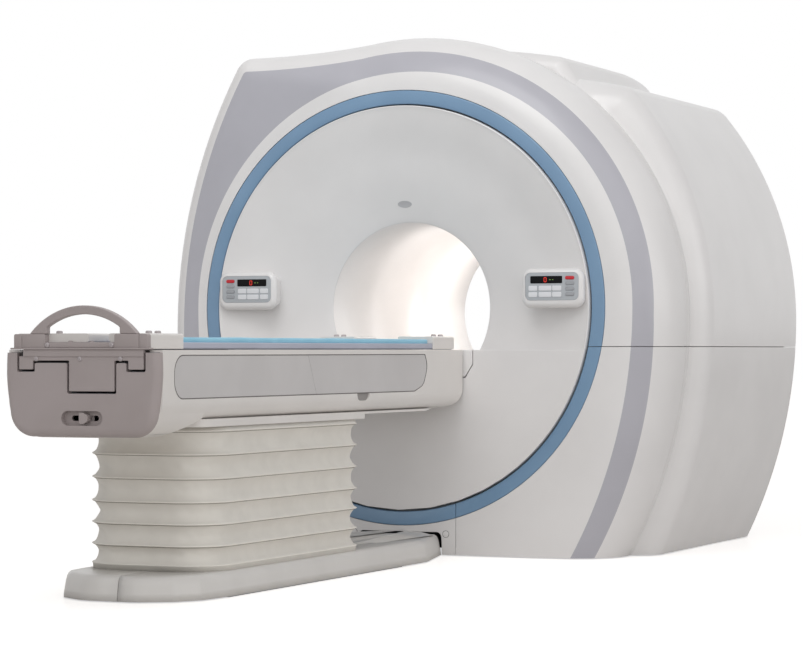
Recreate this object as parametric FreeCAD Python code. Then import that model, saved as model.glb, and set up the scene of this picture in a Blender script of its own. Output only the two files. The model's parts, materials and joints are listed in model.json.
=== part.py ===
import FreeCAD, Part
import math
import os

from FreeCAD import Vector

os.makedirs("parts", exist_ok=True)

# Frame: the origin is on the floor under the isocentre, +Z up, +Y towards the service end, -Y the table.
# All sizes are in millimetres. Depths named *_depth count from the front ring's plane into the gantry.

# --- the gantry as a whole
iso_height = 1010.0
iso_depth = 825.0
gantry_depth = 1640.0
seam_height = 850.0
floor_gap = 4.0
turned_start = 232.0
skin = 6.0
hidden_sides = 40
stud_sides = 10
seat_gap = 0.3
front_y = -iso_depth

# --- front cover outline, seen from the front
front_half_width = 1152.0
front_shoulder_height = 975.0
front_crest_radius = 1160.0
front_lower_radius = 2000.0
wing_half_width = 1072.0
wing_height = 930.0
wing_side_radius = 2220.0
wing_corner_radius = 85.0
wing_top_radius = 3470.0
crest_slope = 10.0
front_round = 225.0
wing_round = 78.0
front_seam_depth = 250.0
heel_radius = 300.0
heel_drop = 300.0

# --- rear body outline
body_half_width = 1222.0
body_height = 970.0
body_upper_radius = 1450.0
body_lower_radius = 2190.0
body_corner_radius = 112.0
roof_height = 2008.0
roof_radius = 4000.0
body_front_depth = 290.0
body_front_round = 100.0
rear_bevel = 40.0
round_step = 22.5
coarse_step = 45.0
rear_flange = 100.0
strip_end_depth = 330.0
strip_round = 60.0

# --- roof cover: the raised spine over the magnet's turret
spine_half_width = 645.0
spine_height = 2098.0
spine_radius = 3200.0
spine_lean = 30.0
spine_edge_radius = 60.0
spine_front_depth = 300.0
spine_rear_depth = 1575.0
spine_end_round = 56.0

# --- front ring, dished disc and bore
ring_outer_radius = 890.0
ring_width = 56.0
ring_depth = 40.0
ring_edge = 4.0
ring_gap = 5.0
disc_proud = 12.0
dish_rings = ((580.0, 54.0),)
mouth_depth = 112.0
bore_radius = 355.0
liner_wall = 6.0
ledge_height = 837.0
recess_height = 1438.0
recess_length = 67.0
recess_width = 29.0
recess_depth = 4.0

# --- cover frame, magnet and coils
frame_plate = 10.0
frame_inner_radius = 818.0
frame_outer_radius = 900.0
standoff_width = 24.0
standoff_circle = 860.0
standoff_count = 8
vessel_radius = 900.0
vessel_bore = 455.0
vessel_front_depth = 215.0
vessel_rear_depth = 1425.0
vessel_wall = 12.0
vessel_end = 15.0
winding_height = 130.0
winding_lengths = (190.0, 240.0, 190.0)
gradient_wall = 82.0
rf_coil_wall = 10.0
saddle_half_width = 660.0
saddle_length = 160.0
saddle_spacing = 640.0
saddle_height = 300.0
saddle_spine_width = 240.0
saddle_spine_height = 60.0
turret_radius = 105.0
turret_top = 2005.0
cold_head_radius = 55.0
cold_head_top = 2080.0

# --- docking bridge and the rails in the bore
bridge_half_width = 326.0
bridge_lower_half_width = 292.0
bridge_bottom = 727.0
bridge_chamfer_top = 779.0
bridge_gap = 4.0
deck_clear = 1.0
deck_thickness = 12.0
deck_half_width = 300.0
deck_web_spacing = 420.0
deck_web = 14.0
rail_spacing = 380.0
rail_width = 26.0
rail_rise = 1.0

# --- kick panel under the ring
kick_half_width = 249.0
plug_radius = 14.0
plug_spacing = 408.0
plug_height = 86.0
kick_cut_half_width = 190.0
kick_cut_height = 84.0
kick_cut_corner = 22.0

# --- rear cover and its funnel
rear_plate = 6.0
rear_plate_inset = 66.0
rear_mouth_radius = 470.0
rear_funnel_depth = 90.0

# --- control pods and keypads
pod_centre = 681.0
pod_height = 1083.0
pod_length = 266.0
pod_rise = 158.0
pod_corner = 40.0
pod_front_depth = -43.0
pod_edge = 14.0
keypad_height = 1090.0
keypad_length = 226.0
keypad_rise = 110.0
keypad_corner = 22.0
keypad_thickness = 5.0
keypad_inset = 1.5
keypad_gap = 0.6
display_offset = -24.0
display_height = 27.0
display_length = 136.0
display_rise = 30.0
display_proud = 1.0
pale_key_proud = 2.0
pale_key_rise = 20.0
pale_key_columns = ((-81.0, 37.0), (-29.0, 54.0), (21.0, 39.0))
pale_key_rows = (-7.0, -32.0)
key_column = 76.0
key_heights = (34.0, 13.0, -9.0, -31.0)
key_length = 38.0
key_rise = 13.5
key_proud = 3.0
key_travel = 1.5
key_gap = 0.4
key_depth = 6.0
key_corner = 4.0

# --- patient table, housing
rim_height = 837.0
table_half_width = 288.0
table_seam_height = 606.0
table_corner = 60.0
table_head_depth = -22.0
table_foot_depth = -2540.0
table_wall = 8.0
foot_underside = 550.0
foot_half_width = 285.0
foot_corner = 125.0
foot_step_depths = (-2390.0, -2230.0)
head_corner = 85.0
rim_edge = 4.0

# --- patient table, end cap with its T-shaped mouth; the knob slides in the slot
end_cap_thickness = 30.0
end_cap_edge = 27.0
mouth_gap = 6.0
tongue = (-43.0, 126.0, 702.0)
hooks = ((-232.0, -180.0, 773.0), (178.0, 234.0, 773.0))
strip_bottom = 802.0
plate_bottom = 815.0
plate_sides = (-215.0, 235.0)
plate_flange = 6.0
plate_flange_half_width = 260.0
plate_thickness = 16.0
slot_sides = (-72.0, 82.0)
slot_heights = (590.0, 638.0)
slot_floor = 8.0
stem_slot_sides = (-45.0, 57.0)
stem_slot_heights = (605.0, 623.0)
knob_sides = (-4.0, 28.0)
knob_heights = (595.0, 633.0)
knob_travel = 35.0
knob_clear = 0.5

# --- patient table, grey side panels let into the housing
panel_depths = (-2459.0, -507.0)
panel_heights = (678.0, 818.0)
panel_thickness = 3.0
panel_inset = 0.4
panel_groove = 1.5
panel_seam = (-1458.0, -1390.0)

notch_depths = (-1040.0, -930.0)
notch_bottom = 648.0
notch_sink = 4.0

# --- patient table, under cover, frame and lift column
under_half_width = 262.0
under_bottom = 578.0
under_depths = (-2215.0, -914.0)
lip_bottom = 596.0
lip_depth = -272.0
lift_centre_depth = -1535.0
tube_half_widths = (150.0, 130.0, 110.0)
tube_half_lengths = (200.0, 180.0, 160.0)
tube_wall = 12.0
tube_heights = ((10.0, 295.0), (205.0, 485.0), (400.0, 680.0))
base_plate_depths = (-2050.0, -600.0)
base_plate_half_width = 277.4
column_clear = 15.0
frame_top = 688.0
frame_beam = (180.0, 226.0)
frame_depths = (-2260.0, -160.0)
frame_plate_depths = (-1900.0, -1260.0)
liner_wall_table = 4.0
lift_travel = 380.0

# --- bellows: heights of its ridges, from the floor up
bellows_bottom = 88.0
ridge_heights = (107.0, 173.0, 247.0, 321.5, 402.0, 483.0, 563.0)
ridge_half_width = 262.0
bellows_depths = (-2160.0, -910.0)
bellows_foot_corner = 160.0
bellows_head_corner = 100.0
valley_inset = 26.0
bellows_wall = 8.0
corner_folds = 4

# --- base covers
base_height = 88.0
base_half_width = 285.0
base_levels = ((0.0, 4.0), (9.0, 58.0), (15.0, 78.0), (26.0, 88.0))
base_wall = 4.0
base_seam = 35.0
nose_depth = -2392.0

# --- tabletop
board_half_width = 245.0
board_bottom = 838.0
board_thickness = 24.0
board_depths = (-2550.0, -16.0)
board_edge = 7.0
pad_half_width = 236.0
pad_thickness = 18.0
pad_depths = (-2325.0, -236.0)
pad_corner = 30.0
block_top = 891.0
foot_block_depths = (-2550.0, -2327.0)
foot_block_sides = ((-250.0, 20.0), (95.0, 250.0))
head_block_depths = (-234.0, -20.0)
head_block_sides = ((-250.0, -95.0), (95.0, 250.0))
block_corner = 8.0
knob_radius = 11.0
knob_height = 9.0
foot_knobs = ((215.0, -2500.0), (215.0, -2440.0), (-120.0, -2500.0))
head_knobs = ((215.0, -80.0), (215.0, -150.0), (-215.0, -80.0), (-215.0, -150.0))
slide_bar = (150.0, 172.0)
slide_bar_length = 600.0
bracket_sides = ((-248.0, -130.0), (130.0, 250.0))
bracket_top = 889.0
bracket_bar_top = 862.0
handle_feet = (-190.0, 214.0)
handle_top = 982.0
handle_inner_top = 953.0
handle_depth = 28.0
slide_travel = 1850.0


def y_at(depth):
    return front_y + depth


def circle_meet(first, first_radius, second, second_radius, side):
    """Where two circles cross; side picks which of the two crossings."""
    dx, dz = second[0] - first[0], second[1] - first[1]
    apart = math.hypot(dx, dz)
    along = (first_radius ** 2 - second_radius ** 2 + apart ** 2) / (2 * apart)
    across = math.sqrt(max(first_radius ** 2 - along ** 2, 0.0))
    mid_x, mid_z = first[0] + along * dx / apart, first[1] + along * dz / apart
    return (mid_x - side * across * dz / apart, mid_z + side * across * dx / apart)


def bearing(start, end):
    """Direction from one point to another, in degrees."""
    return math.degrees(math.atan2(end[1] - start[1], end[0] - start[0]))


def heel_centre(centre, radius, side):
    """Centre of the turn under the floor, where a side arc goes over to the level line below."""
    height = heel_radius - heel_drop
    inner = radius - heel_radius
    return (centre[0] + side * math.sqrt(inner ** 2 - (centre[1] - height) ** 2), height)


def front_outline():
    """Arcs of the front outline: centre, radius, first and last angle, bulge (1 out, -1 in)."""
    lower = (front_half_width - front_lower_radius, front_shoulder_height)
    crest = (front_half_width - front_crest_radius, front_shoulder_height)
    lean = math.radians(crest_slope)
    reach = front_crest_radius + wing_top_radius
    flank = (crest[0] - reach * math.sin(lean), crest[1] + reach * math.cos(lean))
    side = (wing_side_radius - wing_half_width, wing_height)
    left_lower = (front_lower_radius - wing_half_width, wing_height)
    corner = circle_meet(flank, wing_top_radius + wing_corner_radius, side,
                         wing_side_radius - wing_corner_radius, -1)
    right_heel = heel_centre(lower, front_lower_radius, 1)
    left_heel = heel_centre(left_lower, front_lower_radius, -1)
    left_end = 360.0 + bearing(left_lower, left_heel)
    return [
        (right_heel, heel_radius, -90.0, bearing(lower, right_heel), 1),
        (lower, front_lower_radius, bearing(lower, right_heel), 0.0, 1),
        (crest, front_crest_radius, 0.0, 90.0 + crest_slope, 1),
        (flank, wing_top_radius, crest_slope - 90.0, bearing(flank, corner), -1),
        (corner, wing_corner_radius, bearing(corner, flank), bearing(side, corner), 1),
        (side, wing_side_radius, bearing(side, corner), 180.0, 1),
        (left_lower, front_lower_radius, 180.0, left_end, 1),
        (left_heel, heel_radius, left_end, 270.0, 1),
    ]


def body_outline():
    """Arcs of the rear body's outline: the right half from below the floor up, and its mirror image."""
    lower = (body_half_width - body_lower_radius, body_height)
    upper = (body_half_width - body_upper_radius, body_height)
    roof = (0.0, roof_height - roof_radius)
    corner = circle_meet(upper, body_upper_radius - body_corner_radius, roof,
                         roof_radius - body_corner_radius, 1)
    heel = heel_centre(lower, body_lower_radius, 1)
    return with_mirror([
        (heel, heel_radius, -90.0, bearing(lower, heel), 1),
        (lower, body_lower_radius, bearing(lower, heel), 0.0, 1),
        (upper, body_upper_radius, 0.0, bearing(upper, corner), 1),
        (corner, body_corner_radius, bearing(upper, corner), bearing(roof, corner), 1),
        (roof, roof_radius, bearing(roof, corner), 90.0, 1),
    ])


def spine_outline():
    """Arcs of the raised spine: leaning sides, rounded edges and a shallow crown."""
    lean = math.radians(spine_lean)
    crease = (spine_half_width,
              roof_height - roof_radius + math.sqrt(roof_radius ** 2 - spine_half_width ** 2))
    flank = (crease[0] - spine_radius * math.cos(lean), crease[1] - spine_radius * math.sin(lean))
    top = (0.0, spine_height - spine_radius)
    edge = circle_meet(flank, spine_radius - spine_edge_radius, top, spine_radius - spine_edge_radius, 1)
    return with_mirror([
        (flank, spine_radius, spine_lean - 2.0, bearing(flank, edge), 1),
        (edge, spine_edge_radius, bearing(flank, edge), bearing(top, edge), 1),
        (top, spine_radius, bearing(top, edge), 90.0, 1),
    ])


def with_mirror(arcs):
    """A right half, bottom to top, and its mirror image, top to bottom."""
    left = [((-centre[0], centre[1]), radius, 180.0 - end, 180.0 - start, bulge)
            for centre, radius, start, end, bulge in reversed(arcs)]
    return arcs + left


def arc_point(arc, angle, inset):
    centre, radius, start, end, bulge = arc
    reach = radius - bulge * inset
    turn = math.radians(angle)
    return Vector(centre[0] + reach * math.cos(turn), 0.0, centre[1] + reach * math.sin(turn))


def outline_wire(arcs, levels):
    """Closed outline; levels holds (inset, depth) for the start and for the end of every arc."""
    edges, first, last = [], None, None
    for arc, (start, end) in zip(arcs, levels):
        middle = ((start[0] + end[0]) / 2.0, (start[1] + end[1]) / 2.0)
        angles = (arc[2], (arc[2] + arc[3]) / 2.0, arc[3])
        points = [arc_point(arc, angle, inset) + Vector(0.0, y_at(depth), 0.0)
                  for angle, (inset, depth) in zip(angles, (start, middle, end))]
        if last is not None:
            points[0] = last
        edges.append(Part.Arc(*points).toShape())
        first = first or points[0]
        last = points[-1]
    edges.append(Part.LineSegment(last, first).toShape())
    return Part.Wire(edges)


def level_wire(arcs, inset, depth):
    return outline_wire(arcs, [((inset, depth), (inset, depth))] * len(arcs))


def outline_block(arcs, inset, start, end):
    """Solid inside an outline that is moved inwards by inset, between two depths."""
    face = Part.Face(level_wire(arcs, inset, start))
    return face.extrude(Vector(0.0, end - start, 0.0))


def edge_levels(rounding, wall, step):
    """Insets and depths of a rounded edge, from the outline's side round to the flat face."""
    levels, turn = [], 0.0
    while turn <= 90.0 + 1e-6:
        angle = math.radians(turn)
        levels.append((wall + (rounding - wall) * (1.0 - math.cos(angle)),
                       wall + (rounding - wall) * (1.0 - math.sin(angle))))
        turn += step
    return levels


def outline_loft(arcs, levels):
    """Solid through an outline at several insets and depths."""
    return Part.makeLoft([level_wire(arcs, inset, depth) for inset, depth in levels], True, True)


def box(x_start, x_end, d_start, d_end, z_start, z_end):
    return Part.makeBox(x_end - x_start, d_end - d_start, z_end - z_start,
                        Vector(x_start, y_at(d_start), z_start))


def rounded_wire(points, radii):
    """Closed line through the points with each corner turned at its radius."""
    cuts = []
    for index, (here, r) in enumerate(zip(points, radii)):
        before, after = points[index - 1], points[(index + 1) % len(points)]
        if r <= 0.0:
            cuts.append((here, None, here))
            continue
        back, ahead = (before - here).normalize(), (after - here).normalize()
        half = math.acos(max(-1.0, min(1.0, back.dot(ahead)))) / 2.0
        middle = (back + ahead).normalize()
        reach = r / math.tan(half)
        centre = here + middle * (r / math.sin(half))
        cuts.append((here + back * reach, centre - middle * r, here + ahead * reach))
    edges = []
    for index, (start, mid, end) in enumerate(cuts):
        following = cuts[(index + 1) % len(cuts)][0]
        if mid is not None:
            edges.append(Part.Arc(start, mid, end).toShape())
        if (following - end).Length > 1e-6:
            edges.append(Part.LineSegment(end, following).toShape())
    return Part.Wire(edges)


def inset_corners(corners, inset):
    """Corners of an outline moved inwards by inset; the corners run anticlockwise."""
    moved = []
    for index, (x, z, r) in enumerate(corners):
        before, after = corners[index - 1], corners[(index + 1) % len(corners)]
        back, ahead = math.hypot(x - before[0], z - before[1]), math.hypot(after[0] - x, after[1] - z)
        first = ((x - before[0]) / back, (z - before[1]) / back)
        second = ((after[0] - x) / ahead, (after[1] - z) / ahead)
        cross = first[0] * second[1] - first[1] * second[0]
        moved.append((x + inset * (second[0] - first[0]) / cross, z + inset * (second[1] - first[1]) / cross,
                      max(r - inset, 1.0) if r else 0.0))
    return moved


def cushion(corners, start, end, edge, step):
    """Solid from an outline seen from the front, with a front edge that is turned in flat steps."""
    wires = []
    for inset, depth in [(0.0, end - start)] + edge_levels(edge, 0.0, step):
        moved = inset_corners(corners, inset)
        wires.append(rounded_wire([Vector(x, y_at(start + depth), z) for x, z, r in moved],
                                  [c[2] for c in moved]))
    return Part.makeLoft(wires, True, True)


def facing(corners, start, end):
    """Solid from an outline seen from the front, (x, z, radius), between two depths."""
    wire = rounded_wire([Vector(x, y_at(start), z) for x, z, r in corners], [c[2] for c in corners])
    return Part.Face(wire).extrude(Vector(0.0, end - start, 0.0))


def seen_aside(corners, start, end):
    """Solid from an outline seen from the side, (depth, z, radius), between two values of x."""
    wire = rounded_wire([Vector(start, y_at(d), z) for d, z, r in corners], [c[2] for c in corners])
    return Part.Face(wire).extrude(Vector(end - start, 0.0, 0.0))


def standing(corners, start, end):
    """Solid from an outline seen from above, (x, depth, radius), between two heights."""
    wire = rounded_wire([Vector(x, y_at(d), start) for x, d, r in corners], [c[2] for c in corners])
    return Part.Face(wire).extrude(Vector(0.0, 0.0, end - start))


def oblong(x, z, length, rise, corner):
    """Corners of a rounded rectangle about a centre, seen from the front."""
    return [(x - length / 2, z - rise / 2, corner), (x + length / 2, z - rise / 2, corner),
            (x + length / 2, z + rise / 2, corner), (x - length / 2, z + rise / 2, corner)]


def radial(radius, depth):
    """Point in the plane in which turned outlines start, away from the pods and the seams."""
    turn = math.radians(turned_start)
    return Vector(radius * math.cos(turn), y_at(depth), iso_height + radius * math.sin(turn))


def turned(corners):
    """Solid of revolution about the bore's axis from (radius, depth, rounding)."""
    wire = rounded_wire([radial(u, d) for u, d, r in corners], [c[2] for c in corners])
    return Part.Face(wire).revolve(Vector(0.0, 0.0, iso_height), Vector(0.0, 1.0, 0.0), 360.0)


def pipe(outer, inner, start, end):
    return turned([(inner, start, 0.0), (outer, start, 0.0), (outer, end, 0.0), (inner, end, 0.0)])


def many_sided(reach, start, end):
    """Prism about the bore's axis, for hidden round pieces; its flat sides lie at a distance from it."""
    corner = reach / math.cos(math.pi / hidden_sides)
    turns = [2.0 * math.pi * (index + 0.5) / hidden_sides for index in range(hidden_sides + 1)]
    wire = Part.makePolygon([Vector(corner * math.cos(turn), y_at(start), iso_height + corner * math.sin(turn))
                             for turn in turns])
    return Part.Face(wire).extrude(Vector(0.0, end - start, 0.0))


def many_sided_pipe(outer, inner, start, end):
    return many_sided(outer, start, end).cut(many_sided(inner, start, end))


def stud(x, depth, z, radius, length):
    """Short many-sided boss along the bore's axis, for screw heads and plugs."""
    turns = [2.0 * math.pi * (index + 0.5) / stud_sides for index in range(stud_sides + 1)]
    wire = Part.makePolygon([Vector(x + radius * math.cos(turn), y_at(depth), z + radius * math.sin(turn))
                             for turn in turns])
    return Part.Face(wire).extrude(Vector(0.0, length, 0.0))


def disc_block(radius, start, end):
    return Part.makeCylinder(radius, end - start, Vector(0.0, y_at(start), iso_height), Vector(0, 1, 0))


def mirrored(shape):
    return shape.mirror(Vector(0.0, 0.0, 0.0), Vector(1.0, 0.0, 0.0))


def above(height):
    return box(-3000.0, 3000.0, -4000.0, 3000.0, height, 3000.0)


def below(height):
    return box(-3000.0, 3000.0, -4000.0, 3000.0, -2000.0, height)


def single(shape):
    """The one solid in a result."""
    solids = shape.Solids
    if len(solids) != 1:
        raise ValueError("expected one solid, found %d" % len(solids))
    return solids[0]


# ---------------------------------------------------------------- gantry skin

def front_block(wall, step):
    """Block of the front outline with its large rounded edge, which tapers along the wing's flank."""
    arcs = front_outline()
    rounds = [(front_round, front_round)] * 3 + [(front_round, wing_round)] + [(wing_round, wing_round)] * 4
    wires = [level_wire(arcs, wall, front_seam_depth)]
    for large, small in zip(edge_levels(front_round, wall, step), edge_levels(wing_round, wall, step)):
        by_round = {front_round: large, wing_round: small}
        wires.append(outline_wire(arcs, [(by_round[a], by_round[b]) for a, b in rounds]))
    return Part.makeLoft(wires, True, True)


def front_shell():
    seat_radius = ring_outer_radius + seat_gap
    shell = front_block(0.0, round_step).cut(front_block(skin, coarse_step))
    shell = shell.cut(disc_block(seat_radius, -10.0, front_seam_depth))
    shell = shell.fuse(pipe(seat_radius + skin, seat_radius, skin / 2, ring_depth))
    return shell.cut(below(floor_gap)).removeSplitter()


def body_block(wall):
    """The rear body: a rounded front edge and a bevelled rear edge."""
    step = coarse_step if wall else coarse_step * 2 / 3
    front = [(inset, body_front_depth + depth)
             for inset, depth in reversed(edge_levels(body_front_round, wall, step))]
    rear = [(wall, gantry_depth - rear_bevel - wall * 0.4),
            (rear_bevel + wall * 0.4, gantry_depth - wall)]
    return outline_loft(body_outline(), front + rear)


def strip_block(wall):
    """The strip behind the front cover, down to the valley in front of the rear body."""
    start = front_seam_depth - (20.0 if wall else 0.0)
    rear = [(inset, strip_end_depth - depth) for inset, depth in edge_levels(strip_round, wall, coarse_step)]
    return outline_loft(front_outline(), [(wall, start)] + rear)


def spine_block(wall):
    ends = edge_levels(spine_end_round, wall, coarse_step)
    levels = [(inset, spine_front_depth + depth) for inset, depth in reversed(ends)]
    levels += [(inset, spine_rear_depth - depth) for inset, depth in ends]
    return outline_loft(spine_outline(), levels)


def make_gantry_skin():
    front = front_shell()
    upper = front.common(above(seam_height))
    lower = front.common(below(seam_height))
    kick = lower.common(box(-kick_half_width, kick_half_width, -10.0, front_seam_depth,
                            0.0, iso_height - ring_outer_radius + 60.0))
    cut = facing([(-kick_cut_half_width, -10.0, 0.0), (kick_cut_half_width, -10.0, 0.0),
                  (kick_cut_half_width, kick_cut_height, kick_cut_corner),
                  (-kick_cut_half_width, kick_cut_height, kick_cut_corner)], -10.0, 60.0)
    kick = kick.cut(cut)
    for side in (-1, 1):
        kick = kick.fuse(stud(side * plug_spacing / 2, -1.0, plug_height, plug_radius, skin))
    right = lower.common(box(kick_half_width, 1400.0, -10.0, 400.0, -10.0, 1400.0))
    left = lower.common(box(-1400.0, -kick_half_width, -10.0, 400.0, -10.0, 1400.0))
    outer_block, outer_strip = body_block(0.0), strip_block(0.0)
    body = outer_block.fuse(outer_strip).cut(body_block(skin)).cut(strip_block(skin))
    opening = outline_block(body_outline(), rear_flange, gantry_depth - 200.0, gantry_depth + 10.0)
    body = body.cut(opening).cut(below(floor_gap))
    spine = spine_block(0.0).cut(spine_block(skin)).cut(outer_block).cut(outer_strip)
    turret_hole = Part.makeCylinder(turret_radius + 20.0, 400.0, Vector(0.0, 0.0, 1800.0))
    roofless = body.cut(turret_hole)
    half = {}
    for name, side in (("right", 1), ("left", -1)):
        span = box(min(0.0, side * 2000.0), max(0.0, side * 2000.0), 0.0, 2000.0, 0.0, 3000.0)
        half[name] = roofless.common(span)
    return {
        "front_cover_upper": single(upper),
        "front_cover_lower_right": single(right),
        "front_cover_lower_left": single(left),
        "kick_panel": single(kick),
        "side_cover_upper_right": single(half["right"].common(above(seam_height))),
        "side_cover_upper_left": single(half["left"].common(above(seam_height))),
        "side_cover_lower_right": single(half["right"].common(below(seam_height))),
        "side_cover_lower_left": single(half["left"].common(below(seam_height))),
        "roof_cover": max(spine.Solids, key=lambda s: s.Volume),
    }


def make_rear_cover():
    start = gantry_depth - skin - rear_plate
    plate = outline_block(body_outline(), rear_plate_inset, start, start + rear_plate)
    plate = plate.cut(below(floor_gap + 60.0)).cut(disc_block(rear_mouth_radius, 0.0, 3000.0))
    end = start + rear_plate
    funnel = turned([
        (bore_radius, end - rear_funnel_depth, 0.0),
        (bore_radius + liner_wall, end - rear_funnel_depth, 0.0),
        (rear_mouth_radius + 4.0, start, 0.0), (rear_mouth_radius + 4.0, end, 0.0),
        (rear_mouth_radius - 8.0, end, 0.0)])
    return single(plate.fuse(funnel).removeSplitter())


# ---------------------------------------------------------------- ring, disc and bore

def make_ring():
    inner = ring_outer_radius - ring_width
    outer = ring_outer_radius
    ring = turned([(inner, ring_edge, 0.0), (inner + ring_edge, 0.0, 0.0), (outer - ring_edge, 0.0, 0.0),
                   (outer, ring_edge, 0.0), (outer, ring_depth, 0.0), (inner, ring_depth, 0.0)])
    lower = ring.common(below(seam_height))
    middle = box(-kick_half_width, kick_half_width, -10.0, 100.0, 0.0, iso_height)
    return {"blue_ring_upper": ring.common(above(seam_height)), "blue_ring_lower": lower.cut(middle),
            "blue_ring_kick": lower.common(middle)}


def dish_profile(inset):
    """Edges of the dish from the rim to the mouth, in the plane of the bore's axis."""
    rim = ring_outer_radius - ring_width - ring_gap
    points = [(rim + 0.5, -disc_proud)] + list(dish_rings) + [(bore_radius, mouth_depth)]
    return [(u, d + inset) for u, d in points]


def dish_block(inset, back):
    """Solid behind the dish's face, as far as a depth."""
    profile = [(u, d, 0.0) for u, d in dish_profile(inset)]
    return turned(profile + [(profile[-1][0], back, 0.0), (profile[0][0], back, 0.0)])


def make_disc():
    rim = ring_outer_radius - ring_width - ring_gap
    back = mouth_depth + skin
    behind = dish_block(0.0, back)
    dish = behind.cut(dish_block(skin, back + 40.0)).common(above(ledge_height))
    side = pipe(rim, rim - skin, -disc_proud, ring_depth)
    front = disc_block(rim, -disc_proud, -disc_proud + skin).cut(above(ledge_height))
    ledge = disc_block(rim, -disc_proud, back).common(
        box(-rim, rim, -disc_proud, back, ledge_height - skin, ledge_height)).cut(dish_block(skin, 400.0))
    lip = pipe(bore_radius + 17.0, bore_radius, mouth_depth, back)
    disc = side.fuse([dish, front, ledge, lip]).common(disc_block(rim, -20.0, 300.0))
    bore_top = disc_block(bore_radius, -20.0, 300.0).common(above(ledge_height))
    notch = bridge_face(bridge_gap)
    disc = disc.cut(bore_top).cut(facing(notch, -20.0, 300.0)).cut(recess_block())
    return max(disc.removeSplitter().Solids, key=lambda s: s.Volume)


def recess_block():
    """Shallow oval recess above the bore."""
    depth = 62.0
    return facing(oblong(0.0, recess_height, recess_length, recess_width, recess_width / 2 - 0.5),
                  -20.0, depth + recess_depth)


def bridge_face(gap):
    top = ledge_height + (20.0 if gap else 0.0)
    return [(-bridge_half_width - gap, top, 0.0), (bridge_half_width + gap, top, 0.0),
            (bridge_half_width + gap, bridge_chamfer_top - gap / 2, 10.0),
            (bridge_lower_half_width + gap, bridge_bottom - gap, 16.0),
            (-bridge_lower_half_width - gap, bridge_bottom - gap, 16.0),
            (-bridge_half_width - gap, bridge_chamfer_top - gap / 2, 10.0)]


def make_bridge():
    outer = facing(bridge_face(0.0), -disc_proud, mouth_depth)
    hollow = facing([(x * 0.975, z + (-skin if z > 800.0 else skin), 0.0)
                     for x, z, r in bridge_face(0.0)], -disc_proud + skin, mouth_depth + 1.0)
    return single(outer.cut(hollow))


def make_bore():
    start = mouth_depth + skin
    end = gantry_depth - skin - rear_funnel_depth
    liner = pipe(bore_radius + liner_wall, bore_radius, start, end)
    top = ledge_height - deck_clear
    deck = box(-deck_half_width, deck_half_width, mouth_depth, end, top - deck_thickness, top)
    for side in (-1, 1):
        centre = side * rail_spacing / 2
        deck = deck.fuse(box(centre - rail_width / 2, centre + rail_width / 2, mouth_depth, end,
                             top - 1.0, top + rail_rise - 0.5))
        web = side * deck_web_spacing / 2
        deck = deck.fuse(box(web - deck_web / 2, web + deck_web / 2, start, end,
                             iso_height - bore_radius, top - 1.0))
    deck = deck.common(disc_block(bore_radius, 0.0, 3000.0))
    return {"bore_liner": liner, "bore_rails": single(deck.removeSplitter())}


# ---------------------------------------------------------------- magnet

def make_magnet():
    length = vessel_rear_depth - vessel_front_depth
    outer = many_sided(vessel_radius, vessel_front_depth, vessel_rear_depth)
    turret = Part.makeCylinder(turret_radius, turret_top - iso_height, Vector(0.0, 0.0, iso_height))
    well = Part.makeCylinder(turret_radius - vessel_wall, turret_top - iso_height - vessel_end,
                             Vector(0.0, 0.0, iso_height))
    inside = many_sided_pipe(vessel_radius - vessel_wall, vessel_bore + vessel_wall,
                             vessel_front_depth + vessel_end, vessel_rear_depth - vessel_end)
    bore = many_sided(vessel_bore, vessel_front_depth - 1.0, vessel_rear_depth + 1.0)
    core = many_sided(vessel_bore + vessel_wall, vessel_front_depth, vessel_rear_depth).cut(bore)
    vessel = outer.fuse(turret).cut(inside).cut(well).fuse(core).cut(bore)
    start, end = vessel_front_depth + vessel_end, vessel_rear_depth - vessel_end
    free = (end - start - sum(winding_lengths)) / (len(winding_lengths) + 1)
    place, seat = start + free, vessel_bore + vessel_wall + seat_gap
    packs = []
    for winding in winding_lengths:
        packs.append(many_sided_pipe(seat + winding_height, seat, place, place + winding))
        place += winding + free
    inner = vessel_bore - seat_gap
    gradient = many_sided_pipe(inner, vessel_bore - gradient_wall, vessel_front_depth, vessel_rear_depth)
    coil_outer = vessel_bore - gradient_wall - seat_gap
    coil = many_sided_pipe(coil_outer, coil_outer - rf_coil_wall, vessel_front_depth, vessel_rear_depth)
    head = Part.makeCylinder(cold_head_radius, cold_head_top - turret_top + 1.0,
                             Vector(0.0, 0.0, turret_top - 1.0))
    return {"magnet_vessel": single(vessel.fuse(head).removeSplitter()),
            "magnet_coils": Part.Compound(packs), "gradient_coil": gradient, "rf_body_coil": coil}


def make_saddles():
    """Two cradles on a spine beam, which stands on the floor under the isocentre."""
    beams = box(-saddle_spine_width / 2, saddle_spine_width / 2,
                iso_depth - saddle_spacing / 2 - saddle_length / 2,
                iso_depth + saddle_spacing / 2 + saddle_length / 2, 0.0, saddle_spine_height)
    for side in (-1, 1):
        centre = iso_depth + side * saddle_spacing / 2
        beams = beams.fuse(box(-saddle_half_width, saddle_half_width, centre - saddle_length / 2,
                               centre + saddle_length / 2, 0.0, saddle_height + 200.0))
    return single(beams.cut(many_sided(vessel_radius, 0.0, 3000.0)).removeSplitter())


def make_cover_frame():
    """Ring plate behind the front ring, held off the magnet by stand-offs."""
    plate = many_sided_pipe(frame_outer_radius, frame_inner_radius, ring_depth, ring_depth + frame_plate)
    start = ring_depth + frame_plate - 1.0
    for index in range(standoff_count):
        bar = box(-standoff_width / 2, standoff_width / 2, start, vessel_front_depth,
                  iso_height + standoff_circle, iso_height + standoff_circle + standoff_width)
        turn = 22.5 + index * 360.0 / standoff_count
        bar.rotate(Vector(0.0, 0.0, iso_height), Vector(0.0, 1.0, 0.0), turn)
        plate = plate.fuse(bar)
    return single(plate.removeSplitter())


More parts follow.
